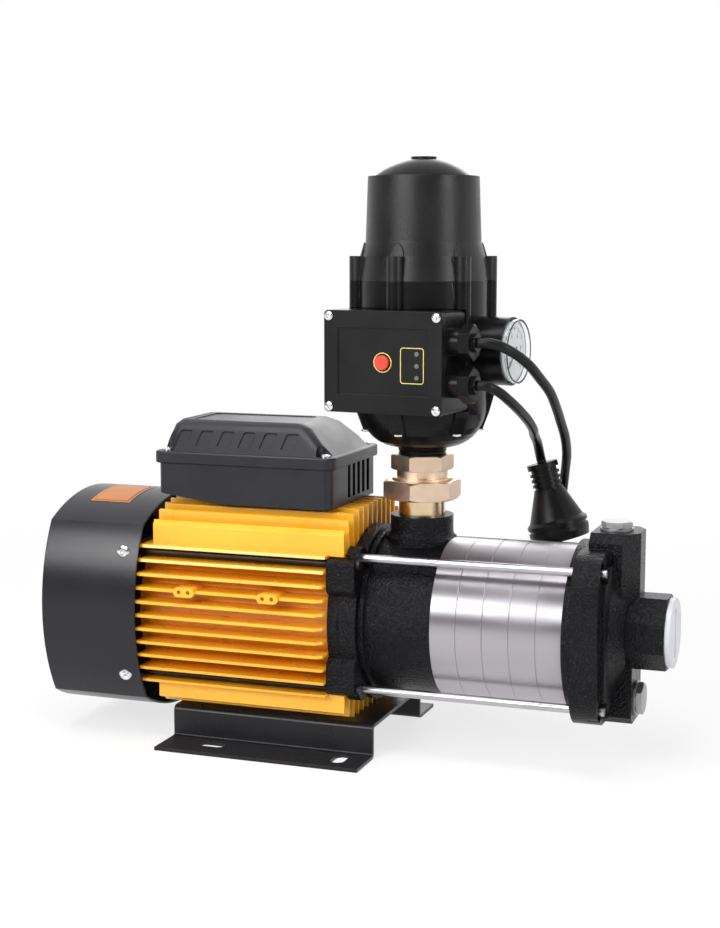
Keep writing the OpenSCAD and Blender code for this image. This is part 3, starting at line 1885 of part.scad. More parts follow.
// Leads: round sections swept along smooth routes
lead_straight = 2 * lead_r;
lead_sides = 8;
coil_sides = 6;
coil_rings_per_turn = 24;
coil_turns = 3.5;
coil_gap = 0.6;
coil_least_r = 29;
coil_step = 2 * lead_r + coil_gap;
coil_centre = [-147.5, 180];
coil_r = coil_least_r + coil_step * coil_turns / 2;
socket_place = [107, 73, 198];
socket_tilt = 15.5;
plug_gap = 24;

// Place of a gland's outer face, upper for s = 1 and lower for s = -1
gland_end = panel_width / 2 + gland_boss_length + gland_nut + gland_dome;
gland_out = [cos(controller_turn), -sin(controller_turn), 0];
gland_side = [-sin(controller_turn), -cos(controller_turn), 0];
function gland_exit(s) = [boss_x, 0, panel_middle + s * gland_pitch / 2]
  + gland_end * gland_out + (panel_reach - gland_setback) * gland_side;

socket_axis = [sin(socket_tilt), 0, -cos(socket_tilt)];
output_route = [
  gland_exit(-1), [101, -57, 265], [107, -51, 261], [111, -41, 255], [114, -25, 247],
  [115, -4, 238], [113, 20, 229], [108, 44, 222], [104.5, 60, 215],
  socket_place - lead_r * socket_axis, socket_place,
];
coil_start = [coil_centre[0] + lead_straight, coil_centre[1] - coil_r, lead_r];
input_route = [
  gland_exit(1), [101, -58, 294], [109, -56, 292], [117, -50, 287], [124, -39, 279],
  [128, -24, 269], [131, -6, 258], [131, 13, 246], [130, 32, 234], [129, 51, 221],
  [126, 71, 206], [121, 88, 189], [117, 98, 170], [114, 103, 150], [109, 106, 125],
  [100, 107, 94], [84, 109, 60], [50, 114, 24], [10, 121, 7], [-35, 129, lead_r],
  [-90, 137, lead_r], coil_start + [lead_straight, 0, 0], coil_start,
];

function unit(v) = v / norm(v);
function spline(a, b, c, d, t) = 0.5 * (2 * b + (c - a) * t + (2 * a - 5 * b + 4 * c - d) * t * t
  + (3 * b - a - 3 * c + d) * t * t * t);
function route_at(p, i) = i < 0 ? 2 * p[0] - p[1]
  : i >= len(p) ? 2 * p[len(p) - 1] - p[len(p) - 2]
  : p[i];
function smooth(p, steps) = concat(
  [for (i = [0:len(p) - 2], k = [0:steps - 1])
    spline(route_at(p, i - 1), p[i], p[i + 1], route_at(p, i + 2), k / steps)],
  [p[len(p) - 1]]
);
function run_length(p, i = 0) = i >= len(p) - 1 ? 0 : norm(p[i + 1] - p[i]) + run_length(p, i + 1);

// Tube of flat sides along points, square to the first and last directions
module tube(points, r, sides, up, first, last) {
  n = len(points);
  along = [for (i = [0:n - 1])
    i == 0 ? first : i == n - 1 ? last : unit(points[i + 1] - points[i - 1])];
  side = [for (i = [0:n - 1]) unit(cross(along[i], up))];
  rise = [for (i = [0:n - 1]) cross(along[i], side[i])];
  polyhedron(
    points = [for (i = [0:n - 1], j = [0:sides - 1])
      points[i] + r * (cos(j * 360 / sides) * side[i] + sin(j * 360 / sides) * rise[i])],
    faces = concat(
      [[for (j = [0:sides - 1]) j]],
      [for (i = [0:n - 2], j = [0:sides - 1])
        [i * sides + j, (i + 1) * sides + j, (i + 1) * sides + (j + 1) % sides]],
      [for (i = [0:n - 2], j = [0:sides - 1])
        [i * sides + j, (i + 1) * sides + (j + 1) % sides, i * sides + (j + 1) % sides]],
      [[for (j = [sides - 1:-1:0]) (n - 1) * sides + j]]
    )
  );
}

module output_lead() {
  color(rubber_black)
    tube(smooth(output_route, 2), lead_r, lead_sides, [0, 1, 0], gland_out, socket_axis);
}

module input_lead() {
  color(rubber_black)
    tube(smooth(input_route, 3), lead_r, lead_sides, [0, 1, 0], gland_out, [-1, 0, 0]);
}

// Coil: spirals in and out again, and climbs a layer where it turns back
function coil_climb(t) = min(1, max(0, 2 * (t - coil_turns / 2) + 0.5));
function coil_point(t) = concat(
  coil_centre + (coil_least_r + coil_step * abs(t - coil_turns / 2))
    * [-sin(360 * t), -cos(360 * t)],
  [lead_r + coil_step * coil_climb(t)]
);
coil_count = coil_turns * coil_rings_per_turn;
coil_loops = [for (i = [0:coil_count]) coil_point(i / coil_rings_per_turn)];
plug_place = [
  coil_centre[0] + lead_straight + 2 * plug_gap,
  coil_centre[1] + coil_r,
  plug_r,
];
coil_tail = smooth([
  coil_point(coil_turns),
  coil_point(coil_turns) + [lead_straight, 0, 0],
  plug_place - [lead_straight, 0, 0],
  plug_place,
], 2);
coil_path = concat(
  [coil_start],
  coil_loops,
  [for (i = [1:len(coil_tail) - 1]) coil_tail[i]]
);
coil_least_gap = min([for (i = [0:coil_count - 13], j = [i + 13:coil_count])
  norm(coil_loops[i] - coil_loops[j]) - 2 * lead_r]);
echo(coil_least_gap = coil_least_gap);
echo(output_lead_length = run_length(smooth(output_route, 8)));
echo(input_lead_length = run_length(smooth(input_route, 8)), coil_length = run_length(coil_path));

module input_lead_coil() {
  color(rubber_black)
    tube(coil_path, lead_r, coil_sides, [0, 0, 1], [-1, 0, 0], [1, 0, 0]);
}

// Socket of the output lead: a rubber bell with a ribbed neck
socket_collar_r = 11.5;
socket_collar = 4;
socket_neck_r = 9.5;
socket_rib_r = 10.9;
socket_rib_pitch = 4;
socket_ribs = 4;
socket_shoulder_share = 0.73;
socket_ring = 2.5;
socket_mouth_r = 18.9;
socket_mouth_depth = 14;
contact_pitch = 19;
contact_r = 2.4;
contact_hole_r = 2.6;
contact_hole_depth = 17;
contact_length = 19;

module output_socket() {
  neck_end = socket_collar + socket_ribs * socket_rib_pitch;
  shoulder = socket_length * socket_shoulder_share;
  color(rubber_black)
    translate(socket_place)
      rotate([0, 180 - socket_tilt, 0])
        difference() {
          union() {
            rotate_extrude()
              polygon([
                [0, 0], [socket_collar_r, 0], [socket_collar_r, socket_collar],
                [socket_neck_r, socket_collar], [socket_neck_r, neck_end],
                [socket_rib_r, neck_end], [socket_r - socket_ring, shoulder],
                [socket_r, shoulder + socket_ring], [socket_r, shoulder + 2 * socket_ring],
                [socket_r - socket_ring / 2, shoulder + 2 * socket_ring],
                [socket_r - socket_ring / 2, shoulder + 3 * socket_ring],
                [socket_r, shoulder + 3 * socket_ring], [socket_r, shoulder + 4 * socket_ring],
                [socket_r - socket_ring / 2, socket_length], [0, socket_length],
              ]);
            for (k = [0.5:socket_ribs])
              translate([0, 0, socket_collar + (k + 0.25) * socket_rib_pitch])
                cylinder(h = socket_rib_pitch / 2, r = socket_rib_r);
          }
          translate([0, 0, socket_length - socket_mouth_depth])
            cylinder(h = socket_mouth_depth + overrun, r = socket_mouth_r);
          for (s = [-1, 1])
            translate([0, s * contact_pitch / 2,
              socket_length - socket_mouth_depth - contact_hole_depth])
              cylinder(h = contact_hole_depth + overrun, r = contact_hole_r,
                $fn = small_fn);
        }
}

// Plug of the input lead, lying on the floor with its pins along X
plug_entry_r = 5;
plug_neck_r = 7;
plug_neck = 10;
plug_shoulder_share = 0.55;

module input_plug() {
  color(rubber_black)
    translate(plug_place)
      rotate([0, 90, 0]) {
        rotate_extrude()
          polygon([
            [0, 0], [plug_entry_r, 0], [plug_neck_r, plug_neck],
            [plug_r - plug_neck_r / 2, plug_length * plug_shoulder_share],
            [plug_r, plug_length - plug_neck], [plug_r, plug_length], [0, plug_length],
          ]);
        for (s = [-1, 1])
          translate([0, s * contact_pitch / 2, plug_length - overrun])
            cylinder(h = contact_length + overrun, r = contact_r, $fn = small_fn);
      }
}

foot_bracket();
foot_bolts();
fan_cover();
fan_cover_screws();
motor_housing();
rear_end_shield();
stator_core();
stator_windings();
motor_through_bolts();
rear_bearing();
front_bearing();
rotor_core();
shaft();
cooling_fan();
terminal_box();
terminal_box_lid();
terminal_box_screws();
run_capacitor();
motor_bracket();
discharge_casing();
stage_shell_1();
stage_shell_2();
stage_shell_3();
stage_shell_4();
stage_shell_5();
diffusers();
impellers();
front_cover();
tie_rods();
tie_rod_nuts();
priming_plug();
drain_plug();
suction_cap();
seal_seat();
seal_ring();
impeller_nut();
casing_o_rings();
union_tail();
union_nut();
union_collar();
controller_body();
controller_bell();
controller_cap();
controller_screws();
control_box();
control_box_cover();
control_box_screws();
reset_button();
indicator_lights();
pressure_gauge();
gauge_needle();
gauge_lens();
cable_glands();
flow_valve();
diaphragm();
output_lead();
output_socket();
input_lead();
input_lead_coil();
input_plug();
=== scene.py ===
"""Horizontal multistage pump with an automatic pressure controller, dressed for rendering."""

import math

import bmesh
import bpy
from mathutils import Matrix, Vector


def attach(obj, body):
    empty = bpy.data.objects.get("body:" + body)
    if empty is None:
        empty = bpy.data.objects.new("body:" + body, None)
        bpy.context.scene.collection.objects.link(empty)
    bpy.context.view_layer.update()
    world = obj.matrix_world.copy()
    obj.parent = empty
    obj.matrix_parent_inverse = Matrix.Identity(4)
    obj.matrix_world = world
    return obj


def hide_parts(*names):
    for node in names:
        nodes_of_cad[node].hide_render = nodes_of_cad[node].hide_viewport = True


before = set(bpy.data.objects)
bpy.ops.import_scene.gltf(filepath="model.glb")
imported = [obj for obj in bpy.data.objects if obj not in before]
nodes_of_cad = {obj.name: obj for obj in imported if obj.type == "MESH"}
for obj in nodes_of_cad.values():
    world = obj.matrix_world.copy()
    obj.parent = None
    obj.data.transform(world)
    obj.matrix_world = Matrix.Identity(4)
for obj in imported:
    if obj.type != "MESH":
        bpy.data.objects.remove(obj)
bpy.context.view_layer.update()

# Camera
# A long lens a little above the pump, to the right of it and turned towards it, as the
# photograph was taken. Its values were fitted to the photograph's straight edges.
photo_height = 928
focal_length_px = 1697.9
sensor_width = 36.0
camera_place = (0.4022, -1.1444, 0.3637)
camera_yaw = 19.8
camera_pitch = 7.62
farthest_seen = 20.0


def add_object(name, data):
    """Makes an object of that data and links it to the scene."""
    thing = bpy.data.objects.new(name, data)
    bpy.context.scene.collection.objects.link(thing)
    return thing


camera_data = bpy.data.cameras.new("camera")
camera_data.sensor_width = sensor_width
camera_data.lens = sensor_width * focal_length_px / photo_height
camera_data.clip_end = farthest_seen
camera = add_object("camera", camera_data)
camera.location = camera_place
camera.rotation_euler = (math.radians(90 - camera_pitch), 0.0, math.radians(camera_yaw))
bpy.context.scene.camera = camera
bpy.context.scene.view_settings.view_transform = "Standard"

# Leads
# Two rubber-sheathed leads of 7 mm leave the glands of the control box: a short one to the
# pump's socket, and a long one that runs down behind the pump and lies coiled on the floor.
lead_radius = 0.0035
lead_start = 2 * lead_radius
route_steps = 10
controller_x = 0.0375
controller_turn = math.radians(7.0)
panel_middle_z = 0.27975
gland_pitch = 0.0283
gland_reach = 0.0635
gland_setback = 0.0505
gland_outward = Vector((math.cos(controller_turn), -math.sin(controller_turn), 0.0))
panel_outward = Vector((-math.sin(controller_turn), -math.cos(controller_turn), 0.0))


def gland_mouth(side):
    """Where a lead leaves its gland: the upper one for side 1, the lower one for side -1."""
    axis = Vector((controller_x, 0.0, panel_middle_z + side * gland_pitch / 2))
    return axis + gland_reach * gland_outward + gland_setback * panel_outward


def smooth_route(route):
    """Points on a smooth curve through the route, which turns no tighter between close points."""
    ends = [2 * route[0] - route[1]] + route + [2 * route[-1] - route[-2]]
    line = []
    for a, b, c, d in zip(ends, ends[1:], ends[2:], ends[3:]):
        t1 = math.sqrt((b - a).length)
        t2 = t1 + math.sqrt((c - b).length)
        t3 = t2 + math.sqrt((d - c).length)
        for step in range(route_steps):
            t = t1 + (t2 - t1) * step / route_steps
            ab = a.lerp(b, t / t1)
            bc = b.lerp(c, (t - t1) / (t2 - t1))
            cd = c.lerp(d, (t - t2) / (t3 - t2))
            low = ab.lerp(bc, t / t2)
            high = bc.lerp(cd, (t - t1) / (t3 - t1))
            line.append(low.lerp(high, (t - t1) / (t2 - t1)))
    return line + [route[-1]]


def sheathed_lead(name, line):
    """A round lead along a line of points, with closed ends."""
    data = bpy.data.curves.new(name, "CURVE")
    data.dimensions = "3D"
    data.bevel_depth = lead_radius
    data.bevel_resolution = 5
    data.use_fill_caps = True
    strand = data.splines.new("POLY")
    strand.points.add(len(line) - 1)
    for point, place in zip(strand.points, line):
        point.co = (*place, 1.0)
    return add_object(name, data)


# The routes repeat the points of the part's source, apart from the third from the end of the
# short one, which lies 2 mm beside its point there so that the lead has no kink.
socket_place = Vector((0.107, 0.073, 0.198))
socket_tilt = math.radians(15.5)
socket_axis = Vector((math.sin(socket_tilt), 0.0, -math.cos(socket_tilt)))
output_route = [
    gland_mouth(-1),
    Vector((0.101, -0.057, 0.265)), Vector((0.107, -0.051, 0.261)),
    Vector((0.111, -0.041, 0.255)), Vector((0.114, -0.025, 0.247)),
    Vector((0.115, -0.004, 0.238)), Vector((0.113, 0.020, 0.229)),
    Vector((0.108, 0.044, 0.222)), Vector((0.1064, 0.0605, 0.2145)),
    socket_place - lead_radius * socket_axis, socket_place,
]
output_line = smooth_route(output_route)
output_lead = sheathed_lead("output_lead_sheath", output_line)

coil_turns = 3.5
coil_least_radius = 0.029
coil_step = 2 * lead_radius + 0.0006
coil_centre = Vector((-0.1475, 0.180, 0.0))
coil_radius = coil_least_radius + coil_step * coil_turns / 2
coil_points_per_turn = 60
plug_gap = 0.024
plug_height = 0.0185


def coil_point(turns):
    """The coil spirals in, climbs a layer and spirals out again on top of itself."""
    radius = coil_least_radius + coil_step * abs(turns - coil_turns / 2)
    climb = min(1.0, max(0.0, 2 * (turns - coil_turns / 2) + 0.5))
    angle = math.radians(-90 - 360 * turns)
    return coil_centre + Vector((radius * math.cos(angle), radius * math.sin(angle),
                                 lead_radius + coil_step * climb))


coil_start = Vector((coil_centre.x + lead_start, coil_centre.y - coil_radius, lead_radius))
input_route = [
    gland_mouth(1),
    Vector((0.101, -0.058, 0.294)), Vector((0.109, -0.056, 0.292)),
    Vector((0.117, -0.050, 0.287)), Vector((0.124, -0.039, 0.279)),
    Vector((0.128, -0.024, 0.269)), Vector((0.131, -0.006, 0.258)),
    Vector((0.131, 0.013, 0.246)), Vector((0.130, 0.032, 0.234)),
    Vector((0.129, 0.051, 0.221)), Vector((0.126, 0.071, 0.206)),
    Vector((0.121, 0.088, 0.189)), Vector((0.117, 0.098, 0.170)),
    Vector((0.114, 0.103, 0.150)), Vector((0.109, 0.106, 0.125)),
    Vector((0.100, 0.107, 0.094)), Vector((0.084, 0.109, 0.060)),
    Vector((0.050, 0.114, 0.024)), Vector((0.010, 0.121, 0.007)),
    Vector((-0.035, 0.129, lead_radius)), Vector((-0.090, 0.137, lead_radius)),
    coil_start + Vector((lead_start, 0.0, 0.0)), coil_start,
]
plug_place = Vector((coil_centre.x + lead_start + 2 * plug_gap,
                     coil_centre.y + coil_radius, plug_height))
coil_loops = [coil_point(i / coil_points_per_turn)
              for i in range(int(coil_turns * coil_points_per_turn) + 1)]
coil_tail = smooth_route([
    coil_loops[-1], coil_loops[-1] + Vector((lead_start, 0.0, 0.0)),
    plug_place - Vector((lead_start, 0.0, 0.0)), plug_place,
])
input_line = smooth_route(input_route) + coil_loops + coil_tail[1:]
input_lead = sheathed_lead("input_lead_sheath", input_line)

noise_low = 0.3
noise_high = 0.7
cloud_detail = 3.0
grain_detail = 2.0
even = (1.0, 1.0, 1.0)


def shader_of(material):
    """The surface shader of a node material."""
    return material.node_tree.nodes["Principled BSDF"]


def bare_material(name, colour, roughness, metallic=0.0):
    """A new node material with its shader set."""
    material = bpy.data.materials.new(name)
    material.use_nodes = True
    shader = shader_of(material)
    shader.inputs["Base Color"].default_value = (*colour, 1.0)
    shader.inputs["Roughness"].default_value = roughness
    shader.inputs["Metallic"].default_value = metallic
    return material


def add_noise(material, scale, detail, stretch=even):
    """A noise over the object's own coordinates, stretched along its axes."""
    tree = material.node_tree
    place = tree.nodes.new("ShaderNodeTexCoord")
    mapping = tree.nodes.new("ShaderNodeMapping")
    noise = tree.nodes.new("ShaderNodeTexNoise")
    mapping.inputs["Scale"].default_value = stretch
    noise.inputs["Scale"].default_value = scale
    noise.inputs["Detail"].default_value = detail
    tree.links.new(place.outputs["Object"], mapping.inputs["Vector"])
    tree.links.new(mapping.outputs["Vector"], noise.inputs["Vector"])
    return noise.outputs["Fac"]


def spread_value(tree, value, from_low, from_high, to_low, to_high):
    """Carries a value from one range over to another."""
    spread = tree.nodes.new("ShaderNodeMapRange")
    spread.inputs["From Min"].default_value = from_low
    spread.inputs["From Max"].default_value = from_high
    spread.inputs["To Min"].default_value = to_low
    spread.inputs["To Max"].default_value = to_high
    tree.links.new(value, spread.inputs["Value"])
    return spread.outputs["Result"]


def vary_colour(material, field, dark, light):
    """Mixes the base colour between two colours by a noise."""
    tree = material.node_tree
    ramp = tree.nodes.new("ShaderNodeValToRGB")
    ramp.color_ramp.elements[0].position = noise_low
    ramp.color_ramp.elements[0].color = (*dark, 1.0)
    ramp.color_ramp.elements[1].position = noise_high
    ramp.color_ramp.elements[1].color = (*light, 1.0)
    tree.links.new(field, ramp.inputs["Fac"])
    tree.links.new(ramp.outputs["Color"], shader_of(material).inputs["Base Color"])


def vary_roughness(material, field, low, high):
    """Spreads the roughness between two values by a noise."""
    tree = material.node_tree
    spread = spread_value(tree, field, noise_low, noise_high, low, high)
    tree.links.new(spread, shader_of(material).inputs["Roughness"])


def add_relief(material, field, depth, edge):
    """Raises a grain of that depth on the surface, and rounds its edges to that radius."""
    tree = material.node_tree
    bump = tree.nodes.new("ShaderNodeBump")
    bump.inputs["Distance"].default_value = depth
    rounding = tree.nodes.new("ShaderNodeBevel")
    rounding.samples = 4
    rounding.inputs["Radius"].default_value = edge
    tree.links.new(field, bump.inputs["Height"])
    tree.links.new(rounding.outputs["Normal"], bump.inputs["Normal"])
    tree.links.new(bump.outputs["Normal"], shader_of(material).inputs["Normal"])


def coated(name, dark, light, roughness, grain, depth, edge, metallic=0.0, patch=30.0,
           stretch=even, gloss=0.5):
    """A finish with cloudy colour and gloss, a fine grain and rounded edges."""
    middle = tuple((a + b) / 2 for a, b in zip(dark, light))
    material = bare_material(name, middle, roughness, metallic)
    shader_of(material).inputs["Specular IOR Level"].default_value = gloss
    cloud = add_noise(material, patch, cloud_detail)
    vary_colour(material, cloud, dark, light)
    vary_roughness(material, cloud, roughness * 0.85, roughness * 1.15)
    add_relief(material, add_noise(material, grain, grain_detail, stretch), depth, edge)
    return material


def dress(piece, material):
    """Puts one material on every slot of a piece."""
    if not piece.material_slots:
        piece.data.materials.append(material)
    for seat in piece.material_slots:
        seat.material = material


def dress_nodes(material, *nodes):
    """Gives nodes of the CAD frame their finish."""
    for node in nodes:
        dress(nodes_of_cad[node], material)


lead_rubber = coated("lead_rubber", (0.003, 0.003, 0.003), (0.007, 0.007, 0.007),
                     roughness=0.33, grain=1600.0, depth=0.00005, edge=0.0004, gloss=0.22)
for lead in (output_lead, input_lead):
    dress(lead, lead_rubber)
    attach(lead, "root")
dress_nodes(lead_rubber, "output_socket", "input_plug")
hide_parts("output_lead")
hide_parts("input_lead", "input_lead_coil")

# Coil tie
# A black cable tie is pulled round the coil's turns and holds them together.
tie_width = 0.0045
tie_thickness = 0.0011
tie_corner_steps = 6
tie_angle = math.radians(150)
tie_outward = Vector((math.cos(tie_angle), math.sin(tie_angle), 0.0))
tie_across = Vector((-math.sin(tie_angle), math.cos(tie_angle), 0.0))
tie_inner = coil_least_radius - lead_radius - tie_thickness
tie_outer = coil_radius + lead_radius + tie_thickness
tie_top = 2 * lead_radius + coil_step + tie_thickness


def mesh_data(name, shape):
    """Turns a bmesh into mesh data and frees it."""
    data = bpy.data.meshes.new(name)
    shape.to_mesh(data)
    shape.free()
    return data


def mesh_piece(name, shape, material):
    """Makes a piece of a bmesh in a material, which stays with the pump."""
    piece = add_object(name, mesh_data(name, shape))
    dress(piece, material)
    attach(piece, "root")
    return piece


def smooth_by_angle(piece, degrees=35.0):
    """Shades a piece smooth except where its faces meet at more than the angle."""
    piece.data.shade_smooth()
    piece.data.set_sharp_from_angle(angle=math.radians(degrees))
    return piece


def rounded_outline(width, height, radius, steps=8):
    """Points round a rectangle with rounded corners."""
    points = []
    for side_x, side_y, start in ((1, 1, 0), (-1, 1, 90), (-1, -1, 180), (1, -1, 270)):
        for step in range(steps + 1):
            angle = math.radians(start + 90 * step / steps)
            points.append((side_x * (width / 2 - radius) + radius * math.cos(angle),
                           side_y * (height / 2 - radius) + radius * math.sin(angle)))
    return points


def skin(shape, ring_a, ring_b):
    """Joins two rings of vertices with a band of faces."""
    for i in range(len(ring_a)):
        j = (i + 1) % len(ring_a)
        shape.faces.new((ring_a[i], ring_a[j], ring_b[j], ring_b[i]))


def face_outward(shape):
    """Turns every face of a closed shape outward."""
    bmesh.ops.recalc_face_normals(shape, faces=shape.faces)


tie_mesh = bmesh.new()
tie_rings = []
for along in (-tie_width / 2, tie_width / 2):
    for shrink in (0.0, tie_thickness):
        outline = rounded_outline(tie_outer - tie_inner - 2 * shrink, tie_top - 2 * shrink,
                                  lead_radius - shrink, tie_corner_steps)
        tie_rings.append([
            tie_mesh.verts.new(coil_centre + ((tie_outer + tie_inner) / 2 + x) * tie_outward
                               + along * tie_across + Vector((0.0, 0.0, tie_top / 2 + z)))
            for x, z in outline])
near_out, near_in, far_out, far_in = tie_rings
for ring_a, ring_b in ((near_out, far_out), (far_in, near_in), (near_in, near_out),
                       (far_out, far_in)):
    skin(tie_mesh, ring_a, ring_b)
face_outward(tie_mesh)
coil_tie = smooth_by_angle(mesh_piece("coil_tie", tie_mesh, lead_rubber))

# Floor and light
# A pale studio sweep in a white surround, which is dimmer towards the camera so that gloss
# has depth. Four large softboxes stand to the left, to the right, above and behind.
floor_half_size = 8.0
fade_distances = (0.25, 1.1)
fade_levels = (0.72, 1.0)
surround_strength = 0.42
backdrop_reach = (-0.5, 0.35)
backdrop_levels = (0.15, 1.0)
white = (1.0, 1.0, 1.0, 1.0)


def join_values(tree, operation, first, second):
    """Joins two values in a node tree with an operation."""
    joined = tree.nodes.new("ShaderNodeMath")
    joined.operation = operation
    tree.links.new(first, joined.inputs[0])
    tree.links.new(second, joined.inputs[1])
    return joined.outputs["Value"]


def seen_directly(tree, path):
    """One for rays that end in the eye, in a mirror or behind glass, and else zero."""
    total = path.outputs["Is Camera Ray"]
    for ray in ("Is Glossy Ray", "Is Transmission Ray"):
        total = join_values(tree, "MAXIMUM", total, path.outputs[ray])
    return total


floor_mesh = bmesh.new()
bmesh.ops.create_grid(floor_mesh, x_segments=1, y_segments=1, size=floor_half_size)
floor = add_object("floor", mesh_data("floor", floor_mesh))
floor_white = bare_material("floor_white", (0.93, 0.93, 0.93), 0.9)
floor_tree = floor_white.node_tree
floor_glow = floor_tree.nodes.new("ShaderNodeEmission")
floor_glow.inputs["Color"].default_value = white
floor_blend = floor_tree.nodes.new("ShaderNodeMixShader")
floor_path = floor_tree.nodes.new("ShaderNodeLightPath")
floor_place = floor_tree.nodes.new("ShaderNodeTexCoord")
floor_distance = floor_tree.nodes.new("ShaderNodeVectorMath")
floor_distance.operation = "LENGTH"
floor_tree.links.new(floor_place.outputs["Object"], floor_distance.inputs[0])
floor_fade = spread_value(floor_tree, floor_distance.outputs["Value"], *fade_distances,
                          *fade_levels)
floor_share = join_values(floor_tree, "MULTIPLY", seen_directly(floor_tree, floor_path),
                          floor_fade)
floor_tree.links.new(floor_share, floor_blend.inputs["Fac"])
floor_tree.links.new(shader_of(floor_white).outputs["BSDF"], floor_blend.inputs[1])
floor_tree.links.new(floor_glow.outputs["Emission"], floor_blend.inputs[2])
floor_tree.links.new(floor_blend.outputs["Shader"],
                     floor_tree.nodes["Material Output"].inputs["Surface"])
dress(floor, floor_white)

world = bpy.data.worlds.new("surround")
bpy.context.scene.world = world
world.use_nodes = True
world_tree = world.node_tree
world_light = world_tree.nodes["Background"]
world_light.inputs["Color"].default_value = white
world_light.inputs["Strength"].default_value = surround_strength
world_seen = world_tree.nodes.new("ShaderNodeBackground")
world_seen.inputs["Color"].default_value = white
world_path = world_tree.nodes.new("ShaderNodeLightPath")
world_place = world_tree.nodes.new("ShaderNodeTexCoord")
world_axes = world_tree.nodes.new("ShaderNodeSeparateXYZ")
world_tree.links.new(world_place.outputs["Generated"], world_axes.inputs["Vector"])
backdrop = spread_value(world_tree, world_axes.outputs["Y"], *backdrop_reach, *backdrop_levels)
world_level = join_values(world_tree, "MAXIMUM", world_path.outputs["Is Camera Ray"], backdrop)
world_tree.links.new(world_level, world_seen.inputs["Strength"])
world_blend = world_tree.nodes.new("ShaderNodeMixShader")
world_tree.links.new(seen_directly(world_tree, world_path), world_blend.inputs["Fac"])
world_tree.links.new(world_light.outputs["Background"], world_blend.inputs[1])
world_tree.links.new(world_seen.outputs["Background"], world_blend.inputs[2])
world_tree.links.new(world_blend.outputs["Shader"],
                     world_tree.nodes["World Output"].inputs["Surface"])
pump_middle = Vector((0.0, 0.0, 0.17))


def softbox(name, place, width, height, power):
    """A rectangular area lamp at a place, turned towards the pump."""
    data = bpy.data.lights.new(name, "AREA")
    data.shape = "RECTANGLE"
    data.size = width
    data.size_y = height
    data.energy = power
    lamp = add_object(name, data)
    lamp.location = place
    lamp.rotation_euler = (pump_middle - Vector(place)).to_track_quat("-Z", "Y").to_euler()


softbox("key_softbox", (-0.6, -1.45, 0.85), width=1.0, height=0.6, power=17.0)
softbox("side_softbox", (1.5, -0.6, 0.8), width=0.4, height=0.9, power=9.0)
softbox("top_softbox", (-0.15, -0.4, 1.45), width=1.2, height=0.6, power=11.0)
softbox("back_softbox", (-0.2, 1.6, 0.9), width=1.2, height=0.7, power=6.0)

# Foot
# One sheet of 2.5 mm steel bent to a raised deck with two slotted flanges, powder coated in
# satin black. Four hexagon bolts fix it under the motor.
powder_coat = coated("satin_powder_coat", (0.008, 0.008, 0.010), (0.012, 0.012, 0.015),
                     roughness=0.3, grain=1300.0, depth=0.00005, edge=0.0007, gloss=0.3)
zinc_plate = coated("bright_zinc_plate", (0.62, 0.62, 0.63), (0.76, 0.76, 0.78),
                    roughness=0.24, grain=1200.0, depth=0.00003, edge=0.0003, metallic=1.0,
                    patch=160.0)
dress_nodes(powder_coat, "foot_bracket")
dress_nodes(zinc_plate, "foot_bolts")

# Motor frame
# An extruded aluminium frame with long cooling fins, enamelled in a warm orange whose tone varies
# in broad patches.
enamel = coated("orange_enamel", (0.9, 0.42, 0.018), (0.95, 0.49, 0.03),
                roughness=0.28, grain=700.0, depth=0.0001, edge=0.0006, patch=18.0)
shader_of(enamel).inputs["Coat Weight"].default_value = 0.25
shader_of(enamel).inputs["Coat Roughness"].default_value = 0.15
dress_nodes(enamel, "motor_housing")

# Rear shield, through-bolts and bearings
# The cast shield closes the frame under the fan cover. Black through-bolts run in the gap
# between two fins and clamp the shield to the motor bracket.
shield_paint = coated("shield_paint", (0.014, 0.014, 0.016), (0.022, 0.022, 0.024),
                      roughness=0.45, grain=900.0, depth=0.0002, edge=0.0008)
black_bolt = coated("blackened_bolt", (0.02, 0.018, 0.018), (0.05, 0.04, 0.04),
                    roughness=0.35, grain=1500.0, depth=0.00004, edge=0.0003, metallic=0.8,
                    patch=120.0)
bearing_steel = coated("ground_bearing_steel", (0.6, 0.6, 0.62), (0.72, 0.72, 0.74),
                       roughness=0.2, grain=2000.0, depth=0.00002, edge=0.0003, metallic=1.0,
                       patch=90.0)
dress_nodes(shield_paint, "rear_end_shield")
dress_nodes(black_bolt, "motor_through_bolts")
dress_nodes(bearing_steel, "rear_bearing", "front_bearing", "shaft")

# Stator and rotor
# Stacked sheets of electrical steel, with lacquered copper windings at both ends.
# The stator is pressed into the frame and the rotor core onto the shaft.
lamination = coated("electrical_steel", (0.2, 0.2, 0.21), (0.3, 0.3, 0.31),
                    roughness=0.45, grain=1.0, depth=0.00008, edge=0.0003, metallic=1.0,
                    stretch=(2500.0, 20.0, 20.0))
winding = coated("lacquered_copper", (0.35, 0.1, 0.03), (0.55, 0.2, 0.07),
                 roughness=0.3, grain=1.0, depth=0.0004, edge=0.0006, metallic=0.7,
                 stretch=(900.0, 260.0, 260.0))
dress_nodes(lamination, "stator_core", "rotor_core")
dress_nodes(winding, "stator_windings")

# Fan and fan cover
# A moulded fan under a deep-drawn cover of 1.5 mm sheet, powder coated in semi-gloss black,
# with ring slots in its rear and a bare orange sticker on top.
fan_plastic = coated("fan_plastic", (0.012, 0.012, 0.012), (0.02, 0.02, 0.02),
                     roughness=0.5, grain=900.0, depth=0.00008, edge=0.0005)
cover_coat = coated("semi_gloss_coat", (0.006, 0.006, 0.009), (0.009, 0.009, 0.013),
                    roughness=0.27, grain=420.0, depth=0.00003, edge=0.0012, patch=12.0,
                    gloss=0.42)
dress_nodes(fan_plastic, "cooling_fan")
dress_nodes(cover_coat, "fan_cover")

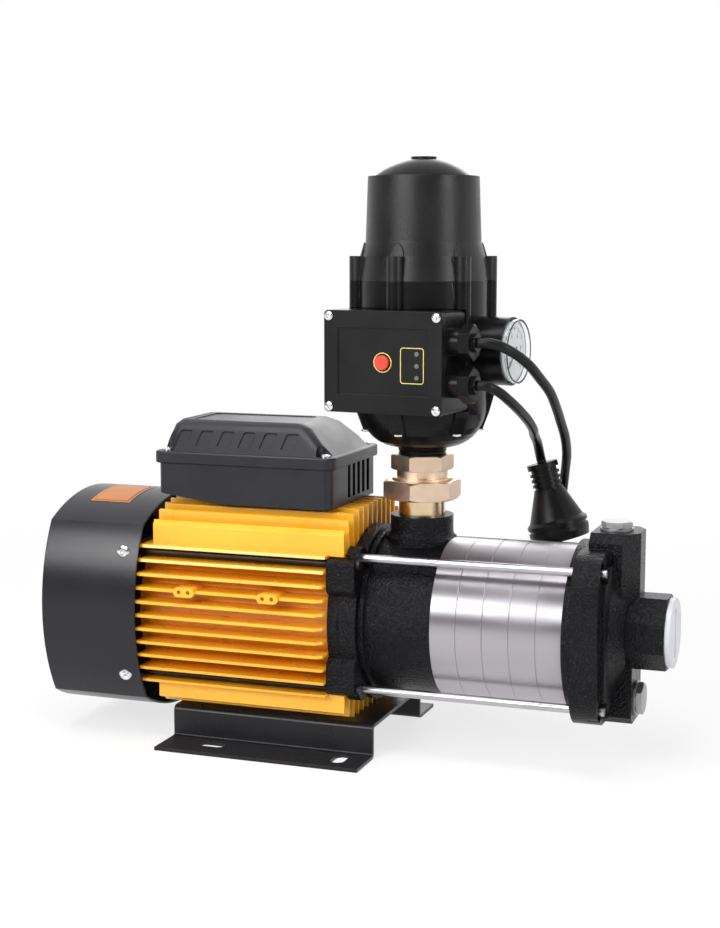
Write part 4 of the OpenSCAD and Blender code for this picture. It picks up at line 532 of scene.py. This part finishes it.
shaft_height = 0.0945
outline_radius = 0.130
cover_reach = 0.0805
sticker_x = (-0.209, -0.177)
sticker_y = (-0.038, 0.005)
sticker_rows = 14
sticker_lift = 0.00012
sticker_border = 0.0018


def cover_top(y):
    """Height of the fan cover's top at a distance from its middle."""
    return shaft_height + cover_reach - outline_radius + math.sqrt(outline_radius**2 - y * y)


def sticker(name, inset, lift, material):
    """A thin sheet that follows the cover's top arc."""
    sheet = bmesh.new()
    lines = []
    for i in range(sticker_rows + 1):
        share = i / sticker_rows
        y = sticker_y[0] + inset + (sticker_y[1] - sticker_y[0] - 2 * inset) * share
        lines.append([sheet.verts.new((x, y, cover_top(y) + lift))
                      for x in (sticker_x[0] + inset, sticker_x[1] - inset)])
    for a, b in zip(lines, lines[1:]):
        sheet.faces.new((a[0], a[1], b[1], b[0]))
    extra = bmesh.ops.extrude_face_region(sheet, geom=sheet.faces[:])
    raised = [part for part in extra["geom"] if isinstance(part, bmesh.types.BMVert)]
    bmesh.ops.translate(sheet, verts=raised, vec=(0.0, 0.0, sticker_lift))
    face_outward(sheet)
    smooth_by_angle(mesh_piece(name, sheet, material))


sticker_orange = coated("sticker_orange", (0.5, 0.17, 0.035), (0.58, 0.21, 0.05),
                        roughness=0.4, grain=1500.0, depth=0.00002, edge=0.0002)
sticker_edge = coated("sticker_border", (0.2, 0.06, 0.02), (0.24, 0.08, 0.03),
                      roughness=0.4, grain=1500.0, depth=0.00002, edge=0.0002)
sticker("sticker_sheet", 0.0, sticker_lift, sticker_orange)
sticker("sticker_band", sticker_border, 2 * sticker_lift, sticker_edge)
sticker("sticker_field", 1.4 * sticker_border, 3 * sticker_lift, sticker_orange)

# Cover screws
# Four chrome pan-head screws with cross recesses hold the cover on the shield's ears. The
# screws of the terminal box and of the controller are made the same way.
head_shares = (1.0, 0.94, 0.86, 0.78, 0.7, 0.62, 0.56, 0.5, 0.44, 0.38, 0.32, 0.27, 0.22, 0.17,
               0.12, 0.07)
points_around = 56
first_turn = 25.0
turn_step = 37.0
dome_fall = 0.38
dome_power = 2.6
recess_width = 0.17
recess_reach = 0.62
recess_depth = 0.62


def closed_loft(shape, rings):
    """Joins rings into a closed skin, with a cap on the first and the last."""
    for a, b in zip(rings, rings[1:]):
        skin(shape, a, b)
    shape.faces.new(rings[-1])
    shape.faces.new(list(reversed(rings[0])))
    face_outward(shape)


def head_height(x, y, share, radius, height):
    """Height of a domed screw head at a point, with the cross sunk into it."""
    arm = recess_width * radius
    reach = recess_reach * radius
    sunk = min(1.0, max(0.0, (arm - min(abs(x), abs(y))) / (0.35 * arm)))
    sunk *= min(1.0, max(0.0, (reach - max(abs(x), abs(y))) / (0.3 * reach)))
    return height * (1 - dome_fall * share**dome_power - recess_depth * sunk)


def cross_screws(name, seats, radius, height, shank_radius, shank_length):
    """Pan-head screws with a cross recess, each on its seat with its head pointing outward."""
    heads = bmesh.new()
    for number, (seat, outward) in enumerate(seats):
        lean = Vector(outward).normalized().to_track_quat("Z", "Y").to_matrix().to_4x4()
        spin = Matrix.Rotation(math.radians(first_turn + turn_step * number), 4, "Z")
        place = Matrix.Translation(seat) @ lean @ spin
        levels = [(shank_radius, -shank_length), (shank_radius, 0.0), (radius, 0.0)]
        levels += [(share * radius, None) for share in head_shares]
        rings = []
        for ring_radius, level in levels:
            ring = []
            for i in range(points_around):
                angle = 2 * math.pi * i / points_around
                x = ring_radius * math.cos(angle)
                y = ring_radius * math.sin(angle)
                z = level
                if level is None:
                    z = head_height(x, y, ring_radius / radius, radius, height)
                ring.append(heads.verts.new(place @ Vector((x, y, z))))
            rings.append(ring)
        closed_loft(heads, rings)
    return smooth_by_angle(mesh_piece(name, heads, chrome), 50.0)


chrome = coated("screw_chrome", (0.72, 0.72, 0.73), (0.84, 0.84, 0.85),
                roughness=0.16, grain=1500.0, depth=0.00002, edge=0.0002, metallic=1.0,
                patch=200.0)
cover_screw_x = -0.1645
cover_screw_z = 0.04433
cover_screw_drop = 0.04933
cover_side = math.sqrt(outline_radius**2 - cover_screw_drop**2) - outline_radius + cover_reach
cover_screw_y = cover_side + 0.0003
cover_screws = cross_screws(
    "cover_screw_heads",
    [((cover_screw_x, side * cover_screw_y, shaft_height + rise * cover_screw_z),
      (0.0, side, 0.0)) for side in (-1, 1) for rise in (-1, 1)],
    radius=0.005, height=0.0024, shank_radius=0.0025, shank_length=0.009)
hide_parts("fan_cover_screws")

# Terminal box
# A moulded box in grained charcoal plastic stands on the fins. Its lid has a row of shallow
# pockets along each slope, a sunk top panel and notched ribs at the fan end, and four screws
# in wells at its corners.
box_plastic = coated("charcoal_plastic", (0.009, 0.009, 0.013), (0.013, 0.013, 0.018),
                     roughness=0.36, grain=1500.0, depth=0.00006, edge=0.0008, gloss=0.4)
dress_nodes(box_plastic, "run_capacitor")

box_x = (-0.1485, -0.0145)
box_half_width = 0.048
box_corner = 0.0065
base_floor = 0.1735
base_top = 0.208
base_wall = 0.0026
ramp_length = 0.052
ramp_height = 0.007
end_slots = 5
slot_pitch = 0.010
slot_width = 0.0055
slot_depth = 0.003
slot_rise = 0.004
lid_skirt_low = 0.202
lid_low = 0.2105
skirt_gap = 0.00015


def widened(ends, margin):
    """The two ends of a length, moved apart by a margin each."""
    return (ends[0] - margin, ends[1] + margin)


def plan_ring(shape, ends, half_width, radius, z):
    """A ring of vertices round a rectangle with rounded corners, at one height."""
    middle = (ends[0] + ends[1]) / 2
    return [shape.verts.new((middle + x, y, z))
            for x, y in rounded_outline(ends[1] - ends[0], 2 * half_width, radius)]


def carve(piece, cutter_shape):
    """Takes a cutter out of a piece's mesh."""
    cutter = add_object(piece.name + "_cutter", mesh_data(piece.name + "_cutter", cutter_shape))
    cut = piece.modifiers.new("cut", "BOOLEAN")
    cut.operation = "DIFFERENCE"
    cut.solver = "EXACT"
    cut.use_self = True
    cut.object = cutter
    bpy.context.view_layer.update()
    graph = bpy.context.evaluated_depsgraph_get()
    carved = bpy.data.meshes.new_from_object(piece.evaluated_get(graph))
    piece.modifiers.clear()
    piece.data = carved
    bpy.data.objects.remove(cutter)
    smooth_by_angle(piece, 30.0)


base_mesh = bmesh.new()
base_inner = widened(box_x, -base_wall)
closed_loft(base_mesh, [
    plan_ring(base_mesh, box_x, box_half_width, box_corner, base_floor),
    plan_ring(base_mesh, box_x, box_half_width, box_corner, base_top),
    plan_ring(base_mesh, base_inner, box_half_width - base_wall, box_corner - base_wall,
              base_top),
    plan_ring(base_mesh, base_inner, box_half_width - base_wall, box_corner - base_wall,
              base_floor + ramp_height + base_wall),
])
box_base = mesh_piece("terminal_box_base", base_mesh, box_plastic)
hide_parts("terminal_box")
base_cutters = bmesh.new()
for i in range(end_slots):
    slot_y = (i - 1) * slot_pitch
    low = (box_x[1] - slot_depth, slot_y - slot_width / 2, base_floor + slot_rise)
    high = (box_x[1] + slot_depth, slot_y + slot_width / 2, lid_skirt_low + 0.001)
    for vertex in bmesh.ops.create_cube(base_cutters, size=1.0)["verts"]:
        vertex.co = [low[k] if vertex.co[k] < 0 else high[k] for k in range(3)]
wedge = [(box_x[0] - base_wall, base_floor - base_wall),
         (box_x[0] + ramp_length, base_floor - base_wall),
         (box_x[0] + ramp_length, base_floor),
         (box_x[0] - base_wall, base_floor + ramp_height)]
closed_loft(base_cutters, [
    [base_cutters.verts.new((x, side * 1.1 * box_half_width, z)) for x, z in wedge]
    for side in (-1, 1)])
carve(box_base, base_cutters)

lid_lip = 0.0025
lid_edge = 0.0008
lid_break = 0.2285
lid_high = 0.2318
dome_inset = 0.0022
break_x = (-0.1425, -0.036)
break_half_width = 0.033
crown_x = (-0.139, -0.044)
crown_half_width = 0.027
crown_recess_margin = (0.014, 0.008)
crown_recess_depth = 0.0016
crown_recess_corner = 0.004
pockets = 6
pocket_pitch = 0.0166
pocket_shift = -0.0085
pocket_size = (0.0092, 0.0135)
pocket_depth = 0.0009
pocket_corner = 0.0016
pocket_shear = 0.18
notches = 5
notch_pitch = 0.0125
notch_size = (0.022, 0.0062)
notch_depth = 0.0036
notch_corner = 0.0015
notch_lean = math.radians(-32.0)
well_radius = 0.0062
well_taper = 1.25
well_lift = 0.0002
lid_screw_inset = 0.006
lid_cutters = bmesh.new()


def rounded_block(width, height, depth, radius):
    """A block with rounded upright edges, centred on the origin."""
    block = bmesh.new()
    outline = rounded_outline(width, height, radius, 5)
    low = [block.verts.new((x, y, -depth / 2)) for x, y in outline]
    high = [block.verts.new((x, y, depth / 2)) for x, y in outline]
    block.faces.new(high)
    block.faces.new(list(reversed(low)))
    skin(block, low, high)
    return block


def add_cutter(block, place):
    """Moves a block to its place and joins it to the lid's cutters."""
    bmesh.ops.transform(block, matrix=place, verts=block.verts)
    data = mesh_data("cutter_block", block)
    lid_cutters.from_mesh(data)
    bpy.data.meshes.remove(data)


slope_run = box_half_width - dome_inset - break_half_width
slope_angle = math.atan2(lid_break - lid_low, slope_run)
box_middle = (box_x[0] + box_x[1]) / 2
for side in (-1, 1):
    lean = Matrix.Rotation(-side * slope_angle, 4, "X")
    shear = Matrix.Identity(4)
    shear[0][1] = -side * pocket_shear
    for i in range(pockets):
        centre = Vector((box_middle + pocket_shift + (i - (pockets - 1) / 2) * pocket_pitch,
                         side * (break_half_width + slope_run / 2),
                         (lid_low + lid_break) / 2))
        add_cutter(rounded_block(*pocket_size, 2 * pocket_depth, pocket_corner),
                   Matrix.Translation(centre) @ lean @ shear)
for i in range(notches):
    centre = Vector((break_x[0], (i - (notches - 1) / 2) * notch_pitch, lid_high))
    add_cutter(rounded_block(*notch_size, notch_depth, notch_corner),
               Matrix.Translation(centre) @ Matrix.Rotation(notch_lean, 4, "Y"))
add_cutter(rounded_block(crown_x[1] - crown_x[0] - crown_recess_margin[0],
                         2 * crown_half_width - crown_recess_margin[1],
                         crown_recess_depth, crown_recess_corner),
           Matrix.Translation(Vector(((crown_x[0] + crown_x[1]) / 2, 0.0, lid_high))))
lid_screw_places = [(x, side * (box_half_width - lid_screw_inset))
                    for x in widened(box_x, -lid_screw_inset) for side in (-1, 1)]
for x, y in lid_screw_places:
    well = bmesh.new()
    bmesh.ops.create_cone(well, cap_ends=True, segments=32, radius1=well_radius,
                          radius2=well_taper * well_radius, depth=lid_high - lid_low)
    well_middle = Vector((x, y, (lid_low + lid_high) / 2 + well_lift))
    add_cutter(well, Matrix.Translation(well_middle))

lip_x = widened(box_x, lid_lip)
lip_inner_x = widened(box_x, lid_lip - lid_edge)
lip_half = box_half_width + lid_lip
skirt_half = box_half_width + skirt_gap
lid_mesh = bmesh.new()
closed_loft(lid_mesh, [plan_ring(lid_mesh, *level) for level in (
    (box_x, skirt_half, box_corner, base_top + skirt_gap),
    (box_x, skirt_half, box_corner, lid_skirt_low),
    (lip_inner_x, lip_half - lid_edge, box_corner, lid_skirt_low),
    (lip_x, lip_half, box_corner + lid_edge, lid_skirt_low + lid_edge),
    (lip_x, lip_half, box_corner + lid_edge, lid_low - lid_edge),
    (lip_inner_x, lip_half - lid_edge, box_corner, lid_low),
    (widened(box_x, -dome_inset), box_half_width - dome_inset, box_corner, lid_low),
    (break_x, break_half_width, box_corner, lid_break),
    (crown_x, crown_half_width, box_corner - dome_inset, lid_high),
)])
box_lid = mesh_piece("terminal_box_lid_shell", lid_mesh, box_plastic)
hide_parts("terminal_box_lid")
carve(box_lid, lid_cutters)
lid_screws = cross_screws("lid_screw_heads",
                          [((x, y, lid_low), (0.0, 0.0, 1.0)) for x, y in lid_screw_places],
                          radius=0.0036, height=0.002, shank_radius=0.002, shank_length=0.020)
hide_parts("terminal_box_screws")

# Pump castings
# The motor bracket, the discharge casing and the suction cover are grey iron castings under a
# glossy black paint that keeps the pebbled skin of the sand mould. Rubber rings seal them.
pebble_grain = 720.0
pebble_detail = 1.0
pebble_depth = 0.0011
cast_paint = bare_material("pebbled_cast_paint", (0.004, 0.004, 0.005), 0.22)
shader_of(cast_paint).inputs["Specular IOR Level"].default_value = 0.17
cast_cloud = add_noise(cast_paint, 40.0, cloud_detail)
vary_colour(cast_paint, cast_cloud, (0.003, 0.003, 0.004), (0.006, 0.006, 0.008))
vary_roughness(cast_paint, cast_cloud, 0.17, 0.26)
add_relief(cast_paint, add_noise(cast_paint, pebble_grain, pebble_detail), pebble_depth, 0.0012)
dress_nodes(cast_paint, "motor_bracket", "discharge_casing", "front_cover")
seal_rubber = coated("seal_rubber", (0.01, 0.01, 0.01), (0.02, 0.02, 0.02),
                     roughness=0.5, grain=1200.0, depth=0.00005, edge=0.0003)
seal_ceramic = coated("ivory_ceramic", (0.72, 0.7, 0.62), (0.8, 0.78, 0.7),
                      roughness=0.25, grain=1500.0, depth=0.00002, edge=0.0003)
dress_nodes(seal_rubber, "casing_o_rings", "seal_ring", "diaphragm")
dress_nodes(seal_ceramic, "seal_seat", "flow_valve", "diffusers")

# Stage shells
# Five rings turned from stainless tube. Fine turning lines run round them, which draw the
# light out along the shaft.
turned_steel = coated("turned_stainless", (0.51, 0.48, 0.52), (0.56, 0.53, 0.57),
                      roughness=0.44, grain=1.0, depth=0.00004, edge=0.0002, metallic=1.0,
                      patch=14.0, stretch=(4200.0, 9.0, 9.0))
shader_of(turned_steel).inputs["Anisotropic"].default_value = 0.9
shader_of(turned_steel).inputs["Anisotropic Rotation"].default_value = 0.25
lathe_direction = turned_steel.node_tree.nodes.new("ShaderNodeTangent")
lathe_direction.direction_type = "RADIAL"
lathe_direction.axis = "X"
turned_steel.node_tree.links.new(lathe_direction.outputs["Tangent"],
                                 shader_of(turned_steel).inputs["Tangent"])
dress_nodes(turned_steel, *(f"stage_shell_{number}" for number in range(1, 6)))
dress_nodes(turned_steel, "impellers", "impeller_nut")

# Tie rods, nuts and plugs
# Bright zinc-plated rods of 6 mm clamp the pump between bracket and cover, with their nuts in
# pockets of the cover. The plugs are dull cast metal.
rod_steel = coated("rod_steel", (0.46, 0.45, 0.46), (0.54, 0.53, 0.54),
                   roughness=0.3, grain=1.0, depth=0.00003, edge=0.0003, metallic=1.0,
                   patch=40.0, stretch=(40.0, 2500.0, 2500.0))
plug_metal = coated("dull_plug_metal", (0.3, 0.29, 0.29), (0.42, 0.41, 0.41),
                    roughness=0.4, grain=1100.0, depth=0.0001, edge=0.0005, metallic=0.9,
                    patch=150.0)
dress_nodes(rod_steel, "tie_rods", "tie_rod_nuts")
dress_nodes(plug_metal, "priming_plug", "drain_plug")

# Suction cap
# A push-in transport cap, moulded in white plastic, closes the suction port. It is pulled out
# before the pump is piped.
cap_plastic = coated("white_cap", (0.55, 0.56, 0.6), (0.6, 0.61, 0.65),
                     roughness=0.35, grain=900.0, depth=0.00004, edge=0.0006)
dress_nodes(cap_plastic, "suction_cap")

# Union
# A brass union between the pump and the controller: its nut and collar are forged, with sandy
# flats, and its tail is turned.
forged_brass = coated("forged_brass", (0.82, 0.61, 0.43), (0.9, 0.7, 0.53),
                      roughness=0.36, grain=1400.0, depth=0.00016, edge=0.0006, metallic=1.0,
                      patch=120.0)
turned_brass = coated("turned_brass", (0.74, 0.56, 0.34), (0.82, 0.64, 0.42),
                      roughness=0.2, grain=1.0, depth=0.00003, edge=0.0003, metallic=1.0,
                      patch=60.0, stretch=(6.0, 6.0, 3500.0))
dress_nodes(forged_brass, "union_nut", "union_collar")
dress_nodes(turned_brass, "union_tail")

# Controller
# Moulded in glass-filled black nylon: a satin bell with a fine spark grain over a glossier
# lower body, with six screws under the feet of its ribs and a thread on its neck.
bell_nylon = coated("grained_nylon", (0.005, 0.005, 0.005), (0.009, 0.009, 0.009),
                    roughness=0.32, grain=1500.0, depth=0.00012, edge=0.0008, gloss=0.36)
body_nylon = coated("satin_nylon", (0.004, 0.004, 0.004), (0.006, 0.006, 0.006),
                    roughness=0.24, grain=1300.0, depth=0.00005, edge=0.0008, gloss=0.16)
dress_nodes(bell_nylon, "controller_bell")
dress_nodes(body_nylon, "controller_body", "controller_cap", "control_box", "cable_glands")

ribs = 6
rib_foot_z = 0.22845
rib_screw_circle = 0.0402
rib_screw_seats = []
for i in range(ribs):
    angle = 2 * math.pi * i / ribs - math.pi / 2 - controller_turn
    rib_screw_seats.append(((controller_x + rib_screw_circle * math.cos(angle),
                             rib_screw_circle * math.sin(angle), rib_foot_z),
                            (0.0, 0.0, -1.0)))
rib_screws = cross_screws("rib_screw_heads", rib_screw_seats, radius=0.0034, height=0.0018,
                          shank_radius=0.0015, shank_length=0.0055)
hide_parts("controller_screws")

neck_root = 0.0162
neck_crest = 0.0173
neck_turns = 2
neck_ring_low = 0.2113
neck_ring_pitch = 0.0023
neck_ring_half = neck_ring_pitch / 2.2
neck_points = 64
neck_thread = bmesh.new()
for i in range(neck_turns):
    middle = neck_ring_low + i * neck_ring_pitch
    closed_loft(neck_thread, [
        [neck_thread.verts.new((controller_x + radius * math.cos(2 * math.pi * k / neck_points),
                                radius * math.sin(2 * math.pi * k / neck_points), z))
         for k in range(neck_points)]
        for radius, z in ((neck_root, middle - neck_ring_half), (neck_crest, middle),
                          (neck_root, middle + neck_ring_half))])
smooth_by_angle(mesh_piece("neck_thread", neck_thread, body_nylon))

# Control panel
# The control box's cover is flat satin nylon with a sunk panel. A round red button in a
# yellow ring resets the controller, and three lamps stand in a yellow frame.
panel_nylon = coated("panel_nylon", (0.006, 0.006, 0.007), (0.009, 0.009, 0.010),
                     roughness=0.36, grain=1300.0, depth=0.00006, edge=0.0006, gloss=0.2)
button_red = coated("button_red", (0.6, 0.035, 0.02), (0.68, 0.05, 0.03),
                    roughness=0.35, grain=1200.0, depth=0.00003, edge=0.0006)
lamp_grey = coated("lamp_grey", (0.1, 0.1, 0.105), (0.14, 0.14, 0.145),
                   roughness=0.25, grain=1200.0, depth=0.00002, edge=0.0004)
panel_yellow = coated("print_yellow", (0.62, 0.56, 0.1), (0.7, 0.64, 0.14),
                      roughness=0.5, grain=1500.0, depth=0.00001, edge=0.0002)
dress_nodes(panel_nylon, "control_box_cover")
dress_nodes(button_red, "reset_button")
dress_nodes(lamp_grey, "indicator_lights")

panel_reach = 0.066
panel_sink = 0.0008
panel_face = panel_reach - panel_sink
print_thickness = 0.00015
ring_diameter = 0.0136
ring_line = 0.0007
lamp_frame_place = (0.0219, -0.0016)
lamp_frame_size = (0.0175, 0.0243)
lamp_frame_corner = 0.0022
lamp_frame_line = 0.0006
panel_screw_inset = 0.0038
panel_half = (0.044 - panel_screw_inset, 0.03475 - panel_screw_inset)
panel_place = (Matrix.Translation(Vector((controller_x, 0.0, panel_middle_z)))
               @ Matrix.Rotation(-controller_turn, 4, "Z")
               @ Matrix.Translation(Vector((0.0, -panel_face, 0.0)))
               @ Matrix.Rotation(math.radians(90), 4, "X"))


def printed_band(name, middle, size, radius, line):
    """A raised printed line round a rounded rectangle on the panel."""
    band = bmesh.new()
    rings = []
    for inset in (0.0, line):
        outline = rounded_outline(size[0] - 2 * inset, size[1] - 2 * inset, radius - inset)
        for z in (0.0, print_thickness):
            rings.append([band.verts.new(panel_place @ Vector((middle[0] + x, middle[1] + y, z)))
                          for x, y in outline])
    outer_low, outer_high, inner_low, inner_high = rings
    for ring_a, ring_b in ((outer_low, outer_high), (outer_high, inner_high),
                           (inner_high, inner_low), (inner_low, outer_low)):
        skin(band, ring_a, ring_b)
    face_outward(band)
    mesh_piece(name, band, panel_yellow)


printed_band("button_ring", (0.0, 0.0), (ring_diameter, ring_diameter), ring_diameter / 2,
             ring_line)
printed_band("lamp_frame", lamp_frame_place, lamp_frame_size, lamp_frame_corner,
             lamp_frame_line)
panel_screw_seats = [
    (panel_place @ Vector((side * panel_half[0], rise * panel_half[1], panel_sink)),
     panel_outward) for side in (-1, 1) for rise in (-1, 1)]
panel_screws = cross_screws("panel_screw_heads", panel_screw_seats, radius=0.0032,
                            height=0.0016, shank_radius=0.00175, shank_length=0.014)
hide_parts("control_box_screws")

# Pressure gauge
# A white printed dial with plain numbers in a clear moulded lens, and a black needle. It is
# pushed into the side of the controller.
dial_white = coated("dial_white", (0.8, 0.8, 0.79), (0.84, 0.84, 0.83),
                    roughness=0.5, grain=900.0, depth=0.00002, edge=0.0003)
dial_ink = coated("dial_ink", (0.01, 0.01, 0.012), (0.02, 0.02, 0.024),
                  roughness=0.6, grain=1500.0, depth=0.00001, edge=0.0001)
lens_clear = bare_material("lens_clear", (0.95, 0.97, 0.98), 0.06)
shader_of(lens_clear).inputs["Transmission Weight"].default_value = 1.0
shader_of(lens_clear).inputs["IOR"].default_value = 1.3
vary_roughness(lens_clear, add_noise(lens_clear, 60.0, cloud_detail), 0.03, 0.08)
dress_nodes(dial_white, "pressure_gauge")
dress_nodes(body_nylon, "gauge_needle")
dress_nodes(lens_clear, "gauge_lens")

gauge_z = 0.2855
gauge_reach = 0.073
dial_sink = 0.0045
dial_steps = 50
steps_per_long_mark = 5
dial_start = 225
dial_sweep = 270
dial_full = 10
mark_outer = 0.0172
long_mark = (0.0142, 0.00028)
short_mark = (0.0156, 0.00014)
mark_height = 0.0001
number_circle = 0.0115
number_size = 0.0046
gauge_place = (Matrix.Translation(Vector((controller_x, 0.0, gauge_z)))
               @ Matrix.Rotation(-controller_turn, 4, "Z")
               @ Matrix.Translation(Vector((gauge_reach - dial_sink, 0.0, 0.0)))
               @ Matrix.Rotation(math.radians(90), 4, "Z")
               @ Matrix.Rotation(math.radians(90), 4, "X"))
dial_marks = bmesh.new()
for step in range(dial_steps + 1):
    angle = math.radians(dial_start - dial_sweep * step / dial_steps)
    mark_inner, half = short_mark if step % steps_per_long_mark else long_mark
    along = Vector((math.cos(angle), math.sin(angle), 0.0))
    across = Vector((-math.sin(angle), math.cos(angle), 0.0))
    corners = [along * r + across * h
               for r, h in ((mark_inner, -half), (mark_outer, -half), (mark_outer, half),
                            (mark_inner, half))]
    closed_loft(dial_marks, [
        [dial_marks.verts.new(gauge_place @ (corner + Vector((0.0, 0.0, z))))
         for corner in corners] for z in (0.0, mark_height)])
mesh_piece("dial_marks", dial_marks, dial_ink)
for number in range(0, dial_full + 1, 2):
    angle = math.radians(dial_start - dial_sweep * number / dial_full)
    label = bpy.data.curves.new(f"dial_number_{number}", "FONT")
    label.body = str(number)
    label.size = number_size
    label.extrude = mark_height / 2
    label.align_x = "CENTER"
    label.align_y = "CENTER"
    figure = add_object(f"dial_number_{number}", label)
    figure.matrix_world = gauge_place @ Matrix.Translation(
        Vector((number_circle * math.cos(angle), number_circle * math.sin(angle), 0.00006)))
    dress(figure, dial_ink)
    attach(figure, "root")
